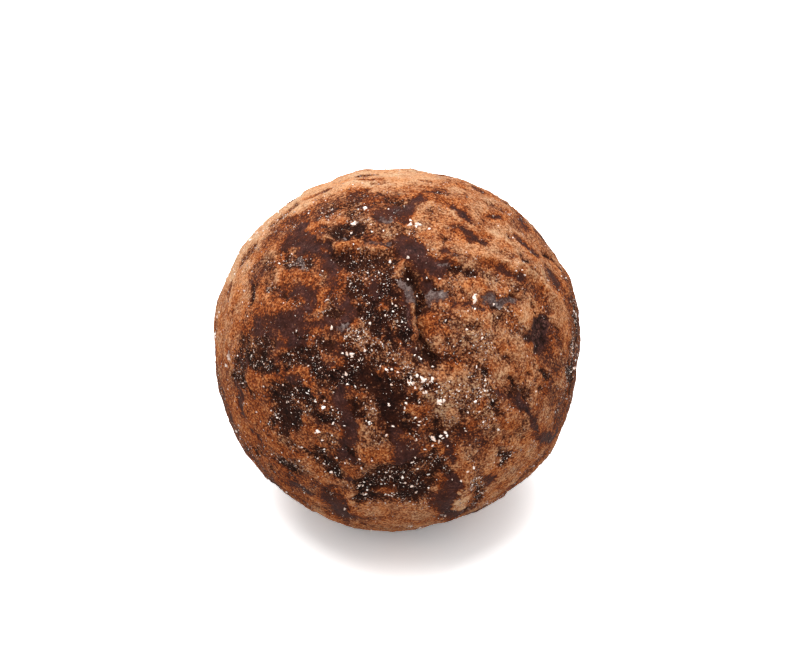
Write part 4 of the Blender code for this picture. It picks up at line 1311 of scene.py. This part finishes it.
SUGAR_ON_SHOW = (
    # east, north, size in mm
    (-53, 47, 0.4), (-63, 42.5, 0.4), (-51, 41, 0.35), (-21, 52.5, 0.36), (-14.5, 47.8, 0.44),
    (-25, 45, 0.36), (-4, 47.6, 0.34), (-10.5, 40, 0.32), (-16.8, 41, 0.5), (-15.8, 40.9, 0.4),
    (-16.8, 35.8, 0.36), (-9.3, 37, 0.42), (-5.4, 37.6, 0.34), (-2.3, 27.8, 0.42), (-35.5, 46.8, 0.34),
    (-31, 44.5, 0.34), (-29.5, 43, 0.36), (-38, 60.5, 0.32), (4.6, 40.6, 0.46), (6, 41.4, 0.44),
    (7.5, 41, 0.46), (8.6, 40.2, 0.44), (5.2, 39.6, 0.36), (7.1, 39.8, 0.36), (4, 36.8, 0.34),
    (13.1, 39.3, 0.34), (33.2, 42.3, 0.5), (3.6, 28, 0.4), (39.5, 54.2, 0.38), (46.3, 45, 0.36),
    (58.5, 46, 0.4), (62, 45.8, 0.34), (55.3, 30.8, 0.34),
    (-43, 27.1, 0.36), (-58, 17.7, 0.42), (-69, 17.6, 0.4), (-58, 11, 0.34), (-71.5, 5, 0.34),
    (-31, 5.8, 0.32), (-53.4, -1.2, 0.34), (-9.7, 24.3, 0.36), (-1.5, 13.5, 0.4), (-0.5, 13.1, 0.36),
    (-0.9, 11.6, 0.34), (-10.4, 9.4, 0.36), (-7.8, 8.1, 0.36), (-19.6, 7, 0.42), (-15.9, -0.1, 0.34),
    (-14.6, -0.5, 0.4), (-13.3, -1, 0.5), (-13.1, -1.6, 0.34), (-9.4, 0.3, 0.36), (4, 22.5, 0.34),
    (9.8, 22.7, 0.34), (13.4, 21.9, 0.36), (20.5, 15.7, 0.32), (24.3, 16, 0.48), (24.9, 15.4, 0.5),
    (24.3, 15, 0.42), (24.9, 16.2, 0.36), (24.3, 12.3, 0.32), (30.6, 14.3, 0.34), (15.5, 8.8, 0.32),
    (21.7, 6.6, 0.34), (26, 3.6, 0.36), (52.4, 25.5, 0.32), (44.6, 24.4, 0.32), (45.3, 22.9, 0.34),
    (38, 18.4, 0.32), (35, 8.5, 0.32),
    (-61.8, -0.8, 0.44), (-62.1, -1.8, 0.5), (-62.5, -2.8, 0.48), (-63, -3.8, 0.44),
    (-63.8, -4.6, 0.5), (-59.7, -6.3, 0.4), (-59.9, -6.9, 0.34), (-52.8, -1.4, 0.34),
    (-52.8, -9.1, 0.34), (-44.4, -11, 0.32), (-57.4, -16.2, 0.32), (-57.6, -17, 0.32),
    (-37, -10.9, 0.32), (-32.7, -11.8, 0.34), (-33.4, -13.1, 0.36), (-36.6, -15.9, 0.34),
    (-29.6, -18.2, 0.32), (-42.2, -21.3, 0.38), (-36.6, -22.2, 0.36), (-50.5, -22.6, 0.34),
    (-53.5, -24.1, 0.34), (-50.5, -27.3, 0.32), (-47.6, -28.2, 0.32), (-73, -19.4, 0.42),
    (-66, -23.4, 0.38), (-11.1, -2.6, 0.32), (-4.6, -4.1, 0.34), (-3.3, -5.1, 0.4), (-2.6, -5.2, 0.38),
    (-1.4, -5.3, 0.36), (-0.8, -5.6, 0.4), (-0.2, -6.2, 0.34), (-15.3, -6.8, 0.4), (-16.5, -8, 0.34),
    (-15.4, -9.8, 0.36), (-12.5, -10.1, 0.34), (-1.4, -10.1, 0.34), (-22.7, -14.8, 0.38),
    (-8.2, -15.2, 0.32), (-22.5, -17, 0.4), (-2.2, -15.9, 0.36), (-1.8, -15.7, 0.36),
    (-20.5, -19.4, 0.32), (-20.6, -21.4, 0.38), (-19.6, -21, 0.34), (-9.1, -21.4, 0.36),
    (-8.7, -22.3, 0.36), (-0.6, -22.9, 0.36), (-16.6, -23.1, 0.34), (-26.7, -24.4, 0.44),
    (-27.1, -24.8, 0.34), (-28.3, -25.1, 0.34), (-21.8, -25.8, 0.32), (-3.5, -26.5, 0.36),
    (-24.7, -27.9, 0.34), (5.6, -1.3, 0.32), (6.1, -1.9, 0.32), (7.2, -1.8, 0.32), (11.1, -5.2, 0.36),
    (3.9, -6.4, 0.4), (4.8, -6, 0.36), (3.6, -7.4, 0.34), (6, -7, 0.38), (4.4, -8, 0.34),
    (3.2, -9.2, 0.36), (4.5, -9.4, 0.44), (5.2, -9.8, 0.36), (7.6, -8.3, 0.44), (7.8, -9.2, 0.44),
    (8.7, -8.4, 0.34), (10.3, -8.5, 0.46), (10.5, -9, 0.36), (6, -10.7, 0.36), (7, -11.4, 0.4),
    (7.7, -11.2, 0.34), (8.2, -12.3, 0.34), (8.8, -12.9, 0.4), (9.3, -13.3, 0.32), (12.4, -15.2, 0.46),
    (13.2, -14.9, 0.5), (13.9, -14.8, 0.4), (13, -15.6, 0.4), (3, -15.6, 0.38), (2.9, -16.9, 0.34),
    (6.6, -16.2, 0.34), (7.2, -15.9, 0.34), (6.3, -20, 0.34), (6.8, -21.5, 0.38), (7.1, -22.2, 0.38),
    (6.4, -27.3, 0.36), (12.2, -26.6, 0.4), (12.9, -27.1, 0.46), (13.5, -27.6, 0.4),
    (15.1, -25.6, 0.38), (16.2, -25.6, 0.38), (16.6, -26.5, 0.36), (15.6, -27.5, 0.34),
    (12.7, -28.9, 0.32), (22, -18.4, 0.34), (26.5, -18.8, 0.36), (28.3, -21.5, 0.34),
    (22.6, -24.2, 0.32), (31.1, -15.4, 0.36), (27.1, -8.2, 0.32), (27.1, -8.9, 0.32),
    (27.1, -9.9, 0.36), (24.5, -6.8, 0.32), (24.4, -14.8, 0.38), (17.6, -29.3, 0.34),
    (54.3, -6.9, 0.32), (51.8, -14.2, 0.36), (54.6, -18, 0.34), (35.9, -23.6, 0.38),
    (-73, -33, 0.38), (-75, -36.6, 0.34), (-52, -32.8, 0.34), (-47.8, -36.2, 0.32),
    (-42.6, -37.4, 0.34), (-37.2, -35.3, 0.34), (-39.5, -38.7, 0.34), (-35.2, -30.3, 0.32),
    (-26.6, -30.9, 0.36), (-25.9, -31.7, 0.32), (-29.3, -34, 0.34), (-28.7, -36.6, 0.34),
    (-21.4, -34.3, 0.32), (-26.7, -39.6, 0.42), (-12.2, -33.2, 0.34), (-12.5, -36.7, 0.36),
    (-19.8, -44.9, 0.32), (-17.5, -46.5, 0.34), (-21, -50.5, 0.34), (-8.4, -33.7, 0.34),
    (-4.1, -39.4, 0.34), (-0.6, -39.8, 0.34), (-2.4, -41, 0.32), (-1.3, -45.2, 0.32),
    (2.3, -41.7, 0.4), (-14.9, -44, 0.4), (-13.8, -43, 0.38), (-14.3, -44.7, 0.4), (-13, -46.8, 0.34),
    (-15.5, -48.6, 0.42), (-13.8, -48.5, 0.38), (-15.6, -51.3, 0.34), (-4.7, -49.2, 0.36),
    (-3.2, -49.7, 0.34), (-2.3, -50.1, 0.34), (0.6, -49.4, 0.38), (-5, -53.7, 0.34),
    (-29.3, -56.6, 0.4), (-2, -62, 0.34), (-3.6, -69, 0.32), (6.6, -34.2, 0.32), (6.1, -35.3, 0.44),
    (10.2, -30.3, 0.36), (14.2, -37.9, 0.36), (8, -38.7, 0.32), (4.6, -44.3, 0.38), (8.8, -44, 0.34),
    (13, -41.5, 0.38), (6.9, -46.2, 0.42), (14.3, -47.3, 0.32), (9.8, -48.8, 0.42), (6.2, -51, 0.34),
    (3, -53, 0.38), (5.5, -56.4, 0.38), (10.5, -56.5, 0.36), (16, -56.4, 0.38), (19.6, -60.6, 0.42),
    (24.5, -62.8, 0.38), (32, -62.5, 0.42), (36.5, -63.4, 0.38), (45, -67.5, 0.42), (13, -71.5, 0.44),
    (27.7, -37.8, 0.38), (29.2, -36.7, 0.36), (23.4, -42.5, 0.34), (26.3, -42.3, 0.34),
    (29.4, -49, 0.38), (32, -42.6, 0.46), (32.2, -43.6, 0.48), (31.7, -44.6, 0.42),
    (34.7, -45.6, 0.38), (33.1, -46.8, 0.38), (38, -42.9, 0.34), (43, -46.6, 0.32),
    (33.8, -53.4, 0.38), (37.6, -55.6, 0.34), (36.5, -58.6, 0.34), (41.8, -30.7, 0.34),
    (43.4, -36, 0.34), (47.5, -39.4, 0.32), (49, -31.6, 0.38), (60, -38.6, 0.32), (52.4, -38.6, 0.32),
)
CLEAN_ANGLE = 50  # degrees from the middle of the show side; further out, cocoa dulls the sugar
FINE_GRAINS = 17000
FULL_SIZE_MM = 0.42  # smaller crystals than this are half sunk, so they show smaller still
chunky = [convex_grain(10, seed) for seed in range(6)]
simple = [convex_grain(5, seed + 50) for seed in range(8)]
lookup = BVHTree.FromObject(coat, bpy.context.evaluated_depsgraph_get())
crystals, dusted_crystals = [], []
for east, north, size in SUGAR_ON_SHOW:
    out = Vector(place(east, north))
    spot, normal, _, _ = lookup.ray_cast(middle + out * 2 * radius, -out)
    size *= min(1.1, size / FULL_SIZE_MM)
    sizes = (size, size * draw.uniform(0.6, 0.9), size * draw.uniform(0.5, 0.8))
    clean = out.dot(show_out) > math.cos(math.radians(CLEAN_ANGLE))
    (crystals if clean else dusted_crystals).append((spot, normal, sizes, 0.35))
pick = np.random.default_rng(8)
chance = field["sugar"] ** 1.4 * np.exp(0.8 * noise_field(1.6, 51))
seen_from_show = ways @ show_out > math.cos(math.radians(75))
away = np.where(seen_from_show, 0.0, chance)
near = np.where(seen_from_show, chance, 0.0)
for where, count, least, most in ((away, 500, 0.20, 0.40), (near, 320, 0.12, 0.20)):
    for row in pick.choice(len(ways), count, replace=False, p=where / where.sum()):
        size = pick.uniform(least, most)
        crystals.append((surface[row], normals[row], (size, size * 0.8, size * 0.6), 0.35))
scatter("sugar_crystals", crystals, chunky, sugar_material)

fine = []
for row in pick.choice(len(ways), FINE_GRAINS, replace=False, p=chance / chance.sum()):
    size = min(0.045 + 0.028 * pick.gamma(1.2), 0.18)
    longer = pick.choice([1.0, 1.6, 2.8], p=[0.7, 0.2, 0.1])
    fine.append((surface[row], normals[row], (size * longer, size, size * 0.7), 0.3))
clean_count = len(fine) // 3
scatter("fine_sugar", fine[:clean_count], simple, sugar_material)
scatter("dusted_sugar", dusted_crystals + fine[clean_count:], simple, dusted_material)

# %% [markdown]
# ## Cocoa crumbs
# Where powder cakes it also rolls up into crumbs, and these soften the line of the powder
# against the bare chocolate. They are made like the sugar, from rounder grains.

# %% Cocoa crumbs
crumb_material = grain_material("caked_cocoa_crumb", 0.95, "#6a3214", "#c08050")
crumbs = []
chance = np.exp(-(((field["powder"] - 0.35) / 0.25) ** 2)) + 0.05
for row in pick.choice(len(ways), 4000, replace=False, p=chance / chance.sum()):
    size = min(0.07 + 0.04 * pick.gamma(1.3), 0.26)
    crumbs.append((surface[row], normals[row], (size, size * 0.85, size * 0.5), 0.5))
scatter("cocoa_crumbs", crumbs, chunky, crumb_material)
